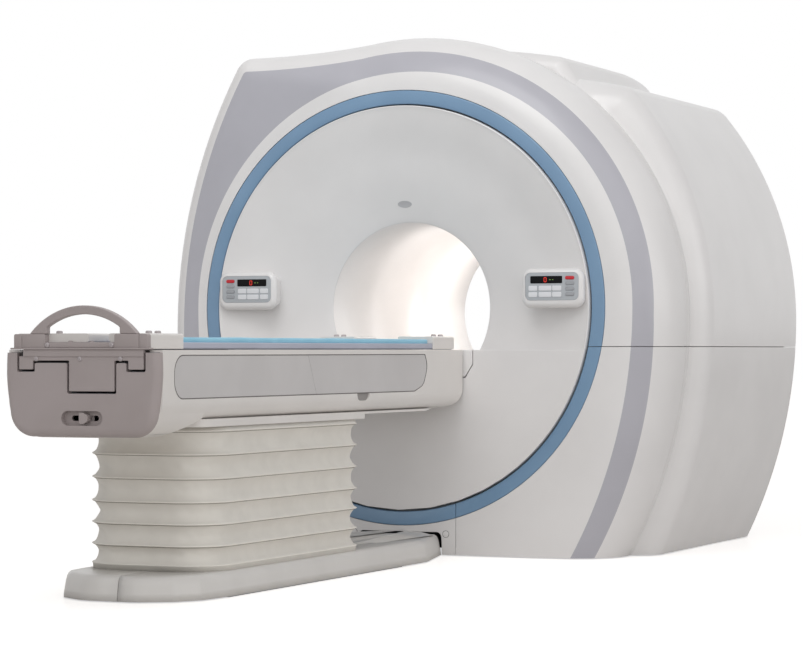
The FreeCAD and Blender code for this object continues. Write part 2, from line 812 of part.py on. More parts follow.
# ---------------------------------------------------------------- pods and keypads

def make_pod():
    """Right control pod: a rounded body on the dish, with a pocket for the keypad."""
    face = cushion(oblong(pod_centre, pod_height, pod_length, pod_rise, pod_corner),
                   pod_front_depth, 140.0, pod_edge, 2 * coarse_step)
    body = face.common(dish_limit(0.0))
    pocket = oblong(pod_centre, keypad_height, keypad_length + 2 * keypad_gap, keypad_rise + 2 * keypad_gap,
                    keypad_corner)
    floor = pod_front_depth + keypad_inset + keypad_thickness
    return single(body.cut(facing(pocket, pod_front_depth - 5.0, floor)).removeSplitter())


def dish_limit(inset):
    """Everything in front of the dish's face within the disc."""
    rim = ring_outer_radius - ring_width - ring_gap
    return disc_block(rim - 0.5, -80.0, 300.0).cut(dish_block(inset, 300.0)).cut(
        disc_block(bore_radius, -90.0, 310.0))


def key_outline(height, grow):
    """Corners of a key, or of its hole when grown: an oblong with cut corners."""
    x, z = pod_centre + key_column, keypad_height + height
    half, rise, cut = key_length / 2 + grow, key_rise / 2 + grow, key_corner
    return [(x - half, z - rise + cut, 0.0), (x - half + cut, z - rise, 0.0), (x + half - cut, z - rise, 0.0),
            (x + half, z - rise + cut, 0.0), (x + half, z + rise - cut, 0.0), (x + half - cut, z + rise, 0.0),
            (x - half + cut, z + rise, 0.0), (x - half, z + rise - cut, 0.0)]


def make_keypad():
    """Right keypad: plate with raised pale keys, holes for the moving keys and a display window."""
    front = pod_front_depth + keypad_inset
    back = front + keypad_thickness
    plate = facing(oblong(pod_centre, keypad_height, keypad_length, keypad_rise, keypad_corner), front, back)
    for row in pale_key_rows:
        for column, length in pale_key_columns:
            key = facing(oblong(pod_centre + column, keypad_height + row, length, pale_key_rise, 0.0),
                         front - pale_key_proud, front + 1.0)
            plate = plate.fuse(key)
    window = oblong(pod_centre + display_offset, keypad_height + display_height, display_length,
                    display_rise, 0.0)
    plate = plate.cut(facing(window, front - 5.0, front + 3.0))
    display = facing(window, front - display_proud, front + 3.0)
    keys = []
    for height in key_heights:
        plate = plate.cut(facing(key_outline(height, key_gap), front - 5.0, back + 1.0))
        keys.append(facing(key_outline(height, 0.0), front - key_proud, front - key_proud + key_depth))
    return single(plate.removeSplitter()), display, keys


def make_controls():
    pod = make_pod()
    keypad, display, keys = make_keypad()
    parts = {"pod_right": pod, "pod_left": mirrored(pod), "keypad_right": keypad,
             "keypad_left": mirrored(keypad), "display_right": display, "display_left": mirrored(display)}
    names = ("stop_key", "up_key", "light_key", "down_key")
    for name, key in zip(names, keys):
        parts[name + "_right"] = key
        parts[name + "_left"] = mirrored(key)
    return parts


# ---------------------------------------------------------------- patient table

def t_profile(gap, top):
    """Outline of the end plate, or of the mouth that it runs in when a gap is given."""
    (hook_a, hook_b, hook_low), (hook_c, hook_d, _) = hooks
    left, right, low = tongue
    low_hook, low_strip = hook_low - gap, strip_bottom - gap
    points = [(hook_a - gap, top), (hook_a - gap, low_hook), (hook_b + gap, low_hook),
              (hook_b + gap, low_strip), (left - gap, low_strip), (left - gap, low - gap),
              (right + gap, low - gap), (right + gap, low_strip), (hook_c - gap, low_strip),
              (hook_c - gap, low_hook), (hook_d + gap, low_hook), (hook_d + gap, top)]
    return [(x, z, 0.0) for x, z in points]


def housing_block(inset, lengthen):
    """Table housing as a block: the long body and the deeper foot section."""
    half, low = table_half_width - inset, table_seam_height + inset
    head = table_head_depth - inset
    foot = table_foot_depth - lengthen
    top = rim_height - inset
    body = facing([(-half, top, 0.0), (-half, low, table_corner - inset),
                   (half, low, table_corner - inset), (half, top, 0.0)], foot, head)
    deep, wide = foot_underside + inset, foot_half_width - inset
    step_start, step_end = foot_step_depths
    section = facing([(-wide, top, 0.0), (-wide, deep, foot_corner - inset),
                      (wide, deep, foot_corner - inset), (wide, top, 0.0)], foot, step_end)
    outline = seen_aside([(foot, top, 0.0), (head, top, 0.0), (head, low, head_corner - inset),
                          (step_end, low, 0.0), (step_start, deep, 0.0), (foot, deep, 0.0)],
                         -400.0, 400.0)
    return body.fuse(section).common(outline)


def panel_outline(gap):
    """Outline of the grey side panel, seen from the side."""
    low, high = panel_heights
    start, end = panel_depths
    return [(start - gap, high + gap, 60.0), (start - gap, low - gap, 60.0), (end, low - gap, 40.0),
            (end + 87.0 + gap, low + 22.0, 60.0), (end + 127.0 + gap, low + 97.0, 50.0),
            (end + 100.0 + gap, high + gap, 8.0)]


def make_housing():
    block = housing_block(0.0, 0.0)
    inner = housing_block(table_wall, 20.0)
    shell = block.cut(inner)
    left, right = hooks[0][0] - mouth_gap, hooks[1][1] + mouth_gap
    shell = shell.cut(box(left, right, table_foot_depth - 10.0, table_head_depth - table_wall,
                          rim_height - 60.0, rim_height + 10.0))
    hole_x = tube_half_widths[0] + column_clear
    hole_d = tube_half_lengths[0] + column_clear
    shell = shell.cut(box(-hole_x, hole_x, lift_centre_depth - hole_d, lift_centre_depth + hole_d,
                          table_seam_height - 10.0, table_seam_height + 30.0))
    outer = table_half_width - panel_thickness - panel_inset
    for side in (-1, 1):
        pocket = seen_aside(panel_outline(panel_groove), min(side * outer, side * 300.0),
                            max(side * outer, side * 300.0))
        shell = shell.cut(pocket).cut(pull_notch(side))
    return single(shell.removeSplitter())


def pull_notch(side):
    """Shallow half-round grip under the panel's lower edge."""
    start, end = notch_depths
    low, top = notch_bottom, panel_heights[0] + 10.0
    near, far = sorted((side * (table_half_width - notch_sink), side * 300.0))
    return seen_aside([(start, top, 0.0), (start, low, 28.0), (end, low, 28.0), (end, top, 0.0)], near, far)


def make_panels():
    inner = table_half_width - panel_thickness - panel_inset
    whole = seen_aside(panel_outline(0.0), inner, table_half_width - panel_inset)
    low, high = panel_heights
    seam_top, seam_low = panel_seam
    cutter = seen_aside([(panel_depths[0] - 50.0, high + 50.0, 0.0), (panel_depths[0] - 50.0, low - 50.0, 0.0),
                         (seam_low, low - 50.0, 0.0), (seam_low, low, 0.0), (seam_top, high, 0.0),
                         (seam_top, high + 50.0, 0.0)], 200.0, 400.0)
    groove = cutter.translated(Vector(0.0, 1.0, 0.0))
    foot, head = whole.common(cutter), whole.cut(groove)
    return {"side_panel_foot_right": single(foot), "side_panel_foot_left": mirrored(foot),
            "side_panel_head_right": single(head), "side_panel_head_left": mirrored(head)}


def make_end_cap():
    front = table_foot_depth - end_cap_thickness
    half = [(236.0, foot_underside + 2.0, 62.0), (284.0, 690.0, 0.0), (292.0, 765.0, 0.0),
            (288.0, 828.0, 12.0)]
    outline = half + [(-x, z, r) for x, z, r in reversed(half)]
    cap = cushion(outline, front, table_foot_depth, end_cap_edge, coarse_step)
    cap = cap.cut(facing(t_profile(mouth_gap, 900.0), front - 10.0, table_foot_depth + 10.0))
    (x0, x1), (z0, z1) = slot_sides, slot_heights
    slot = oblong((x0 + x1) / 2, (z0 + z1) / 2, x1 - x0, z1 - z0, (z1 - z0) / 2 - 0.5)
    cap = cap.cut(facing(slot, front - 10.0, table_foot_depth - slot_floor))
    (x0, x1), (z0, z1) = stem_slot_sides, stem_slot_heights
    slot = oblong((x0 + x1) / 2, (z0 + z1) / 2, x1 - x0, z1 - z0, (z1 - z0) / 2 - 0.5)
    return single(cap.cut(facing(slot, front - 10.0, table_foot_depth + 10.0)))


def make_release_knob():
    (x0, x1), (z0, z1) = knob_sides, knob_heights
    centre, middle = (x0 + x1) / 2, (z0 + z1) / 2
    floor = table_foot_depth - slot_floor
    grip = facing([(x0, z0 + 2.0, 3.0), (x0 + 14.0, z0, 3.0), (x1, z0 + 10.0, 8.0), (x1, z1 - 10.0, 8.0),
                   (x0 + 14.0, z1, 3.0), (x0, z1 - 2.0, 3.0)],
                  table_foot_depth - end_cap_thickness - 4.0, floor - knob_clear)
    stem = box(centre - 6.0, centre + 6.0, floor - knob_clear - 1.0, table_foot_depth + 6.0,
               middle - 7.0, middle + 7.0)
    keeper = box(centre - 22.0, centre + 22.0, table_foot_depth + knob_clear, table_foot_depth + 6.0,
                 middle - 16.0, middle + 16.0)
    return single(grip.fuse([stem, keeper]).removeSplitter())


def make_trough():
    """Channel under the tabletop: it has the end plate's outline and hangs under the housing's rim."""
    start, end = table_foot_depth, table_head_depth - table_wall
    wall = liner_wall_table
    under_rim = rim_height - table_wall
    outer = facing(t_profile(mouth_gap + wall, under_rim), start, end)
    inner = facing(t_profile(mouth_gap, rim_height + 10.0), start - 10.0, end + 10.0)
    left, right = hooks[0][0] - mouth_gap, hooks[1][1] + mouth_gap
    flange = box(left - 30.0, right + 30.0, start, end, under_rim - wall, under_rim)
    flange = flange.cut(box(left, right, start - 1.0, end + 1.0, under_rim - 20.0, under_rim + 1.0))
    return single(outer.cut(inner).fuse(flange).removeSplitter())


def make_under_cover():
    """Tray under the housing: deep over the bellows, a thin lip towards the head end."""
    half, (start, end) = under_half_width, under_depths
    tray = standing([(-half, start, 60.0), (half, start, 60.0), (half, end, 0.0), (-half, end, 0.0)],
                    under_bottom, table_seam_height)
    lip = seen_aside([(end - 1.0, lip_bottom, 0.0), (lip_depth - 60.0, lip_bottom, 0.0),
                      (lip_depth, table_seam_height, 0.0), (end - 1.0, table_seam_height, 0.0)], -half, half)
    hole_x = tube_half_widths[0] + column_clear
    hole_d = tube_half_lengths[0] + column_clear
    hole = box(-hole_x, hole_x, lift_centre_depth - hole_d, lift_centre_depth + hole_d,
               under_bottom - 1.0, table_seam_height + 1.0)
    return single(tray.fuse(lip).cut(hole).removeSplitter())


def lift_tube(stage):
    """One stage of the lift column; an inner stage has guide pads that slide on the stage outside it."""
    half, length = tube_half_widths[stage], tube_half_lengths[stage]
    low, high = tube_heights[stage]
    corners = [(-half, lift_centre_depth - length, 20.0), (half, lift_centre_depth - length, 20.0),
               (half, lift_centre_depth + length, 20.0), (-half, lift_centre_depth + length, 20.0)]
    wall = tube_wall
    guides = []
    if stage:
        reach = tube_half_widths[stage - 1] - wall
        along = tube_half_lengths[stage - 1] - wall
        guides = [box(-reach, reach, lift_centre_depth - 40.0, lift_centre_depth + 40.0, low, low + 40.0),
                  box(-40.0, 40.0, lift_centre_depth - along, lift_centre_depth + along, low, low + 40.0)]
    inner = [(-half + wall, lift_centre_depth - length + wall, 8.0),
             (half - wall, lift_centre_depth - length + wall, 8.0),
             (half - wall, lift_centre_depth + length - wall, 8.0),
             (-half + wall, lift_centre_depth + length - wall, 8.0)]
    tube = standing(corners, low, high)
    if guides:
        tube = tube.fuse(guides)
    return single(tube.cut(standing(inner, low - 1.0, high + 1.0)).removeSplitter())


def make_lift():
    plate = box(-base_plate_half_width, base_plate_half_width, base_plate_depths[0],
                base_plate_depths[1], 0.0, tube_heights[0][0])
    outer = lift_tube(0)
    return {"lift_outer_tube": single(outer.fuse(plate).removeSplitter()),
            "lift_middle_tube": lift_tube(1), "lift_inner_tube": lift_tube(2)}


def make_couch_frame():
    """Two long beams on the housing's floor, joined over the lift column."""
    near, far = frame_beam
    floor = table_seam_height + table_wall
    frame = box(-far, far, frame_plate_depths[0], frame_plate_depths[1], frame_top - 8.0, frame_top)
    for side in (-1, 1):
        frame = frame.fuse(box(min(side * near, side * far), max(side * near, side * far),
                               frame_depths[0], frame_depths[1], floor, frame_top))
    left, right, low = tongue
    for depth in frame_plate_depths:
        inward = 60.0 if depth == frame_plate_depths[0] else -60.0
        pad = box(left - 8.0, right + 8.0, min(depth, depth + inward), max(depth, depth + inward),
                  frame_top - 4.0, low - mouth_gap - liner_wall_table)
        frame = frame.fuse(pad)
    return single(frame.removeSplitter())


def bellows_loop(inset, height):
    half = ridge_half_width - inset
    start, end = bellows_depths[0] + inset, bellows_depths[1] - inset
    foot, head = bellows_foot_corner - inset, bellows_head_corner - inset
    points = []
    for side, corner, depth, sign in ((1, foot, start, 1), (1, head, end, -1), (-1, head, end, -1),
                                      (-1, foot, start, 1)):
        turns = [index * math.pi / 2 / corner_folds for index in range(corner_folds + 1)]
        for turn in (turns if side * sign > 0 else reversed(turns)):
            x = side * (half - corner * (1.0 - math.sin(turn)))
            points.append(Vector(x, y_at(depth + sign * corner * (1.0 - math.cos(turn))), height))
    return points


def folded(loops):
    """Solid of flat panels between loops that have the same number of points."""
    panels = []
    for low, high in zip(loops, loops[1:]):
        for index in range(len(low)):
            after = (index + 1) % len(low)
            panels.append([low[index], low[after], high[after], high[index]])
    panels += [loops[0], loops[-1]]
    return Part.Solid(Part.Shell([Part.Face(Part.makePolygon(p + p[:1])) for p in panels]))


def make_bellows():
    """Folded cover round the lift column, with sharp ridges, hollow panels and folded corners."""
    loops = [bellows_loop(4.0, bellows_bottom)]
    for index, height in enumerate(ridge_heights):
        loops.append(bellows_loop(0.0, height))
        last = index == len(ridge_heights) - 1
        above_it = under_bottom if last else ridge_heights[index + 1]
        if last:
            loops.append(bellows_loop(6.0, above_it))
        else:
            span = above_it - height
            loops.append(bellows_loop(valley_inset, height + span * 0.33))
            loops.append(bellows_loop(valley_inset, height + span * 0.67))
    outer = folded(loops)
    core_inset = valley_inset + bellows_wall
    core = folded([bellows_loop(core_inset, bellows_bottom), bellows_loop(core_inset, under_bottom)])
    return single(outer.cut(core))


def base_plan(inset):
    """Half of the base outline from the nose to the gantry, as x, depth and rounding."""
    half = base_half_width - inset
    return [(100.0, nose_depth + inset, 120.0), (212.0 - inset * 0.6, nose_depth + 74.0 + inset * 0.6, 60.0),
            (268.0 - inset * 0.9, nose_depth + 167.0 + inset * 0.4, 60.0), (half, nose_depth + 312.0, 300.0),
            (half, -375.0, 200.0), (kick_cut_half_width - inset, -20.0, 0.0),
            (kick_cut_half_width - 6.0 - inset, 0.0, 0.0)]


def base_wire(inset, height):
    half = base_plan(inset)
    corners = half + [(-x, depth, r) for x, depth, r in reversed(half)]
    return rounded_wire([Vector(x, y_at(d), height) for x, d, r in corners], [c[2] for c in corners])


def base_shape(wall):
    """Base block with leaning sides and a turned-in upper edge; a wall makes its hollow."""
    wires = [base_wire(inset + wall, height - (wall if height > floor_gap else 20.0))
             for inset, height in base_levels] if wall else [base_wire(*level) for level in base_levels]
    return Part.makeLoft(wires, True, True)


def make_base():
    opening = folded([bellows_loop(valley_inset + bellows_wall, height) for height in (0.0, 200.0)])
    shell = base_shape(0.0).cut(base_shape(base_wall)).cut(opening)
    right = box(base_seam, 400.0, nose_depth - 10.0, 10.0, 0.0, 200.0)
    return {"base_cover_right": single(shell.common(right).removeSplitter()),
            "base_cover_left": single(shell.cut(right).removeSplitter())}


# ---------------------------------------------------------------- tabletop

def make_board():
    low, high = board_bottom, board_bottom + board_thickness
    half = board_half_width
    return facing([(-half, low + 6.0, 0.0), (-half + 8.0, low, 0.0), (half - 8.0, low, 0.0),
                   (half, low + 6.0, 0.0), (half, high, 4.0), (-half, high, 4.0)],
                  board_depths[0], board_depths[1])


def make_mattress():
    low = board_bottom + board_thickness
    start, end = pad_depths
    return standing([(-pad_half_width, start, pad_corner), (pad_half_width, start, pad_corner),
                     (pad_half_width, end, pad_corner), (-pad_half_width, end, pad_corner)],
                    low, low + pad_thickness)


def table_knob(x, depth, seat):
    """Small eight-sided knob on a block."""
    turns = [math.radians(22.5 + 45.0 * index) for index in range(9)]
    wire = Part.makePolygon([Vector(x + knob_radius * math.cos(turn), y_at(depth) + knob_radius * math.sin(turn),
                                    seat - 1.0) for turn in turns])
    return Part.Face(wire).extrude(Vector(0.0, 0.0, knob_height + 1.0))


def block_pair(sides, depths, knobs):
    """White end blocks with their small round knobs: each sits on the board and laps over its side."""
    low, high = board_bottom + board_thickness, block_top
    solids = []
    for left, right in sides:
        solid = facing([(left, low, 0.0), (right, low, 0.0), (right, high, block_corner),
                        (left, high, block_corner)], depths[0], depths[1])
        outer = right if right > board_half_width else left
        inner = board_half_width if outer > 0 else -board_half_width
        lap = box(min(outer, inner), max(outer, inner), depths[0], depths[1], board_bottom + 2.0, low + 9.0)
        solid = solid.fuse(lap)
        for x, depth in knobs:
            if left < x < right:
                solid = solid.fuse(table_knob(x, depth, high))
        solids.append(single(solid.removeSplitter()))
    return Part.Compound(solids)


def make_end_plate():
    """T-shaped plate at the tabletop's foot, with its flange, screws and the bars that run in the trough."""
    front = table_foot_depth - end_cap_thickness - 4.0
    back = front + plate_thickness
    plate = facing(t_profile(0.0, plate_bottom), front + 4.0, back)
    plate = plate.fuse(box(plate_sides[0], plate_sides[1], front, back, plate_bottom - 1.0,
                           board_bottom))
    flange = box(-plate_flange_half_width, plate_flange_half_width, front - 6.0, board_depths[0],
                 board_bottom, board_bottom + plate_flange)
    plate = plate.fuse(flange)
    for side in (-1, 1):
        near, far = sorted((side * slide_bar[0], side * slide_bar[1]))
        plate = plate.fuse(box(near, far, back - 1.0, board_depths[0] + slide_bar_length,
                               strip_bottom - mouth_gap, board_bottom))
    for x in (-172.0, 15.0, 185.0):
        plate = plate.fuse(stud(x, front + 1.0, strip_bottom + 5.0, 7.0, 6.0))
    return single(plate.removeSplitter())


def make_bracket():
    """Taupe end blocks with the bar between them, against the board's foot."""
    front = table_foot_depth - end_cap_thickness - 6.0
    back = board_depths[0]
    low = board_bottom + plate_flange
    (a, b), (c, d) = bracket_sides
    bracket = facing([(a, low, 0.0), (d, low, 0.0), (d, bracket_top, 9.0), (c, bracket_top, 6.0),
                      (c - 12.0, bracket_bar_top, 5.0), (b + 12.0, bracket_bar_top, 5.0),
                      (b, bracket_top, 6.0), (a, bracket_top, 9.0)], front, back)
    for x in (-118.0, 118.0):
        bracket = bracket.fuse(stud(x, front - 3.0, 853.0, 9.0, 8.0))
    return single(bracket.removeSplitter())


def make_handle():
    """Arched handle on the bracket."""
    left, right = handle_feet
    middle = (left + right) / 2
    low = bracket_top
    top = Part.Arc(Vector(left, 0.0, low), Vector(middle, 0.0, handle_top), Vector(right, 0.0, low))
    inner = Part.Arc(Vector(right - 66.0, 0.0, low + 22.0), Vector(middle, 0.0, handle_inner_top),
                     Vector(left + 66.0, 0.0, low + 22.0))
    edges = [top.toShape(), Part.LineSegment(Vector(right, 0, low), Vector(right - 66.0, 0, low)).toShape(),
             Part.LineSegment(Vector(right - 66.0, 0, low), Vector(right - 66.0, 0, low + 22.0)).toShape(),
             inner.toShape(),
             Part.LineSegment(Vector(left + 66.0, 0, low + 22.0), Vector(left + 66.0, 0, low)).toShape(),
             Part.LineSegment(Vector(left + 66.0, 0, low), Vector(left, 0, low)).toShape()]
    arch = Part.Face(Part.Wire(edges)).extrude(Vector(0.0, handle_depth - 2.0, 0.0))
    return arch.translated(Vector(0.0, y_at(table_foot_depth - end_cap_thickness - 6.0), 0.0))


def make_table():
    parts = {"couch_housing": make_housing(), "end_cap": make_end_cap(), "trough_liner": make_trough(),
             "under_cover": make_under_cover(), "couch_frame": make_couch_frame(),
             "release_knob": make_release_knob(), "bellows": make_bellows(),
             "tabletop_board": make_board(), "mattress": make_mattress(),
             "foot_blocks": block_pair(foot_block_sides, foot_block_depths, foot_knobs),
             "head_blocks": block_pair(head_block_sides, head_block_depths, head_knobs),
             "end_plate": make_end_plate(), "handle_bracket": make_bracket(), "handle": make_handle()}
    parts.update(make_panels())
    parts.update(make_lift())
    parts.update(make_base())
    return parts


pieces = {}
pieces.update(make_gantry_skin())
pieces["rear_cover"] = make_rear_cover()
pieces.update(make_ring())
pieces["front_disc_cover"] = make_disc()
pieces["docking_bridge"] = make_bridge()
pieces.update(make_bore())
pieces.update(make_magnet())
pieces["magnet_saddles"] = make_saddles()
pieces["cover_frame"] = make_cover_frame()
pieces.update(make_controls())
pieces.update(make_table())

for name, shape in sorted(pieces.items()):
    if not shape.isValid():
        print("not valid:", name)
    shape.exportStep("parts/%s.step" % name)
print(len(pieces), "pieces")
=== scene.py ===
import json
import math

import bmesh
import bpy
from mathutils import Matrix, Vector, noise

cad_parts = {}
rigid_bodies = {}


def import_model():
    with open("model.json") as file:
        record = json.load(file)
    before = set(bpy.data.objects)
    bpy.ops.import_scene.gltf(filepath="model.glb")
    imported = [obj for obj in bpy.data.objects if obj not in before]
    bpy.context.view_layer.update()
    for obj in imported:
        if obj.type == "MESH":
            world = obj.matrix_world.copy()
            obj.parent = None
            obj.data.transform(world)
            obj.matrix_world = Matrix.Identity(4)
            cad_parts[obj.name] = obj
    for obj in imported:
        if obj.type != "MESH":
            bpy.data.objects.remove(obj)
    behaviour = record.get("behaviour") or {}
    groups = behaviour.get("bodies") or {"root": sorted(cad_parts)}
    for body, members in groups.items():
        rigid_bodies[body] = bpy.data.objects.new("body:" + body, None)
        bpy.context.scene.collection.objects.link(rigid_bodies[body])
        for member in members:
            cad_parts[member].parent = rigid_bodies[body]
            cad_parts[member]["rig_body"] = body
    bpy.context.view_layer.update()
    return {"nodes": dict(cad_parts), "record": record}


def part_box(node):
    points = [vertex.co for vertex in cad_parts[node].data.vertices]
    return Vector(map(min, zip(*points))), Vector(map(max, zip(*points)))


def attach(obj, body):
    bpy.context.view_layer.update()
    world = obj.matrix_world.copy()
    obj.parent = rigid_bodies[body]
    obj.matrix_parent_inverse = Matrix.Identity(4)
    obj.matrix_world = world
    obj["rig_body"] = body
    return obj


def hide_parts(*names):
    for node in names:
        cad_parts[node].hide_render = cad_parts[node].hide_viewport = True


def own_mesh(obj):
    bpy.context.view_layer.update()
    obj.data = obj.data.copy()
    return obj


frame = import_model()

# metres, in the frame of the CAD part: the floor is z 0, the table lies towards -y
# a depth is measured from the plane of the blue ring, towards the service end

gantry = {
    "axisHeight": 1.010,     # bore axis above the floor
    "frontY": -0.825,        # plane of the blue ring
    "seamHeight": 0.850,     # joint between the upper and lower covers
    "seamGap": 0.0024,
    "floorGap": 0.004,
    "wall": 0.006,
}
halfGap = gantry["seamGap"] / 2.0
seamTop, seamLow = gantry["seamHeight"] + halfGap, gantry["seamHeight"] - halfGap
axisPoint = Vector((0.0, 0.0, gantry["axisHeight"]))
sides = (("Right", 1), ("Left", -1))
nodeSlots = {part["node"]: part["material_slot"] for part in frame["record"]["subparts"]}
replacedBy = {}              # which CAD nodes each finished piece stands for
cutPast = 0.01               # how far a cutting mesh stands out of what it cuts


def srgb(code):
    channels = [int(code[i:i + 2], 16) / 255.0 for i in (1, 3, 5)]
    return [c / 12.92 if c <= 0.04045 else ((c + 0.055) / 1.055) ** 2.4 for c in channels] + [1.0]


def addNode(tree, kind, values=None, links=None, **settings):
    node = tree.nodes.new(kind)
    for name, value in settings.items():
        setattr(node, name, value)
    for name, value in (values or {}).items():
        node.inputs[name].default_value = value
    for name, socket in (links or {}).items():
        tree.links.new(socket, node.inputs[name])
    return node


def newMaterial(name):
    material = bpy.data.materials.new(name)
    material.use_nodes = True
    tree = material.node_tree
    tree.nodes.clear()
    output = addNode(tree, "ShaderNodeOutputMaterial")
    shader = addNode(tree, "ShaderNodeBsdfPrincipled")
    tree.links.new(shader.outputs["BSDF"], output.inputs["Surface"])
    where = addNode(tree, "ShaderNodeTexCoord")
    return material, tree, shader, where.outputs["Object"]


def perMetre(millimetres):
    return 1000.0 / millimetres


# colour between two tones by a noise value
def toneMix(tree, factor, low, high, fromMin=0.35, fromMax=0.65):
    spread = addNode(tree, "ShaderNodeMapRange", {"From Min": fromMin, "From Max": fromMax},
                     {"Value": factor})
    mix = addNode(tree, "ShaderNodeMix", data_type="RGBA")
    mix.inputs[6].default_value = srgb(low)
    mix.inputs[7].default_value = srgb(high)
    tree.links.new(spread.outputs["Result"], mix.inputs[0])
    return mix.outputs[2]


surface = {
    "driftMm": 260.0, "clothDriftMm": 90.0, "coatRoughness": 0.12, "lineStretch": 0.06,
    "grainSwing": 0.12, "lineSwing": 0.2, "grainRelief": 0.5, "threadRelief": 0.4,
    "threadWobble": 0.4, "threadDivisor": 6.283,
}


# links a pattern to the gloss, which swings about its middle value
def patternGloss(tree, shader, pattern, roughness, swing):
    gloss = addNode(tree, "ShaderNodeMapRange",
                    {"To Min": roughness * (1.0 - swing), "To Max": roughness * (1.0 + swing)},
                    {"Value": pattern})
    tree.links.new(gloss.outputs["Result"], shader.inputs["Roughness"])


# plastic or paint: slow tone drift, and a grain in the gloss and the relief
def mouldedFinish(name, low, high, roughness, grainMm, grainDepth, coat=0.0, ior=1.5, metallic=0.0):
    material, tree, shader, where = newMaterial(name)
    drift = addNode(tree, "ShaderNodeTexNoise", {"Scale": perMetre(surface["driftMm"]), "Detail": 3.0},
                    {"Vector": where})
    grain = addNode(tree, "ShaderNodeTexNoise", {"Scale": perMetre(grainMm), "Detail": 4.0},
                    {"Vector": where})
    tree.links.new(toneMix(tree, drift.outputs["Fac"], low, high), shader.inputs["Base Color"])
    patternGloss(tree, shader, grain.outputs["Fac"], roughness, surface["grainSwing"])
    relief = addNode(tree, "ShaderNodeBump",
                     {"Strength": surface["grainRelief"], "Distance": grainDepth / 1000.0},
                     {"Height": grain.outputs["Fac"]})
    tree.links.new(relief.outputs["Normal"], shader.inputs["Normal"])
    for socket, value in (("IOR", ior), ("Coat Weight", coat), ("Coat Roughness", surface["coatRoughness"]),
                          ("Metallic", metallic)):
        shader.inputs[socket].default_value = value
    return material


# cloth: two crossed sets of threads, drawn coarser than the real ones so that they show
def wovenFinish(name, low, high, threadMm, threadDepth, roughness, sheen):
    material, tree, shader, where = newMaterial(name)
    drift = addNode(tree, "ShaderNodeTexNoise", {"Scale": perMetre(surface["clothDriftMm"]), "Detail": 4.0},
                    {"Vector": where})
    tree.links.new(toneMix(tree, drift.outputs["Fac"], low, high), shader.inputs["Base Color"])
    both = addNode(tree, "ShaderNodeMath", operation="ADD")
    for index, direction in enumerate(("X", "Z")):
        wave = addNode(tree, "ShaderNodeTexWave",
                       {"Scale": perMetre(threadMm) / surface["threadDivisor"],
                        "Distortion": surface["threadWobble"]},
                       {"Vector": where}, bands_direction=direction)
        tree.links.new(wave.outputs["Fac"], both.inputs[index])
    relief = addNode(tree, "ShaderNodeBump",
                     {"Strength": surface["threadRelief"], "Distance": threadDepth / 1000.0},
                     {"Height": both.outputs["Value"]})
    tree.links.new(relief.outputs["Normal"], shader.inputs["Normal"])
    shader.inputs["Roughness"].default_value = roughness
    shader.inputs["Sheen Weight"].default_value = sheen
    return material


# bare metal: long fine machining lines in tone and gloss
def brushedFinish(name, low, high, roughness, lineMm):
    material, tree, shader, where = newMaterial(name)
    stretch = addNode(tree, "ShaderNodeMapping", {"Scale": (1.0, 1.0, surface["lineStretch"])},
                      {"Vector": where})
    lines = addNode(tree, "ShaderNodeTexNoise", {"Scale": perMetre(lineMm), "Detail": 3.0},
                    {"Vector": stretch.outputs["Vector"]})
    tree.links.new(toneMix(tree, lines.outputs["Fac"], low, high), shader.inputs["Base Color"])
    patternGloss(tree, shader, lines.outputs["Fac"], roughness, surface["lineSwing"])
    shader.inputs["Metallic"].default_value = 1.0
    return material


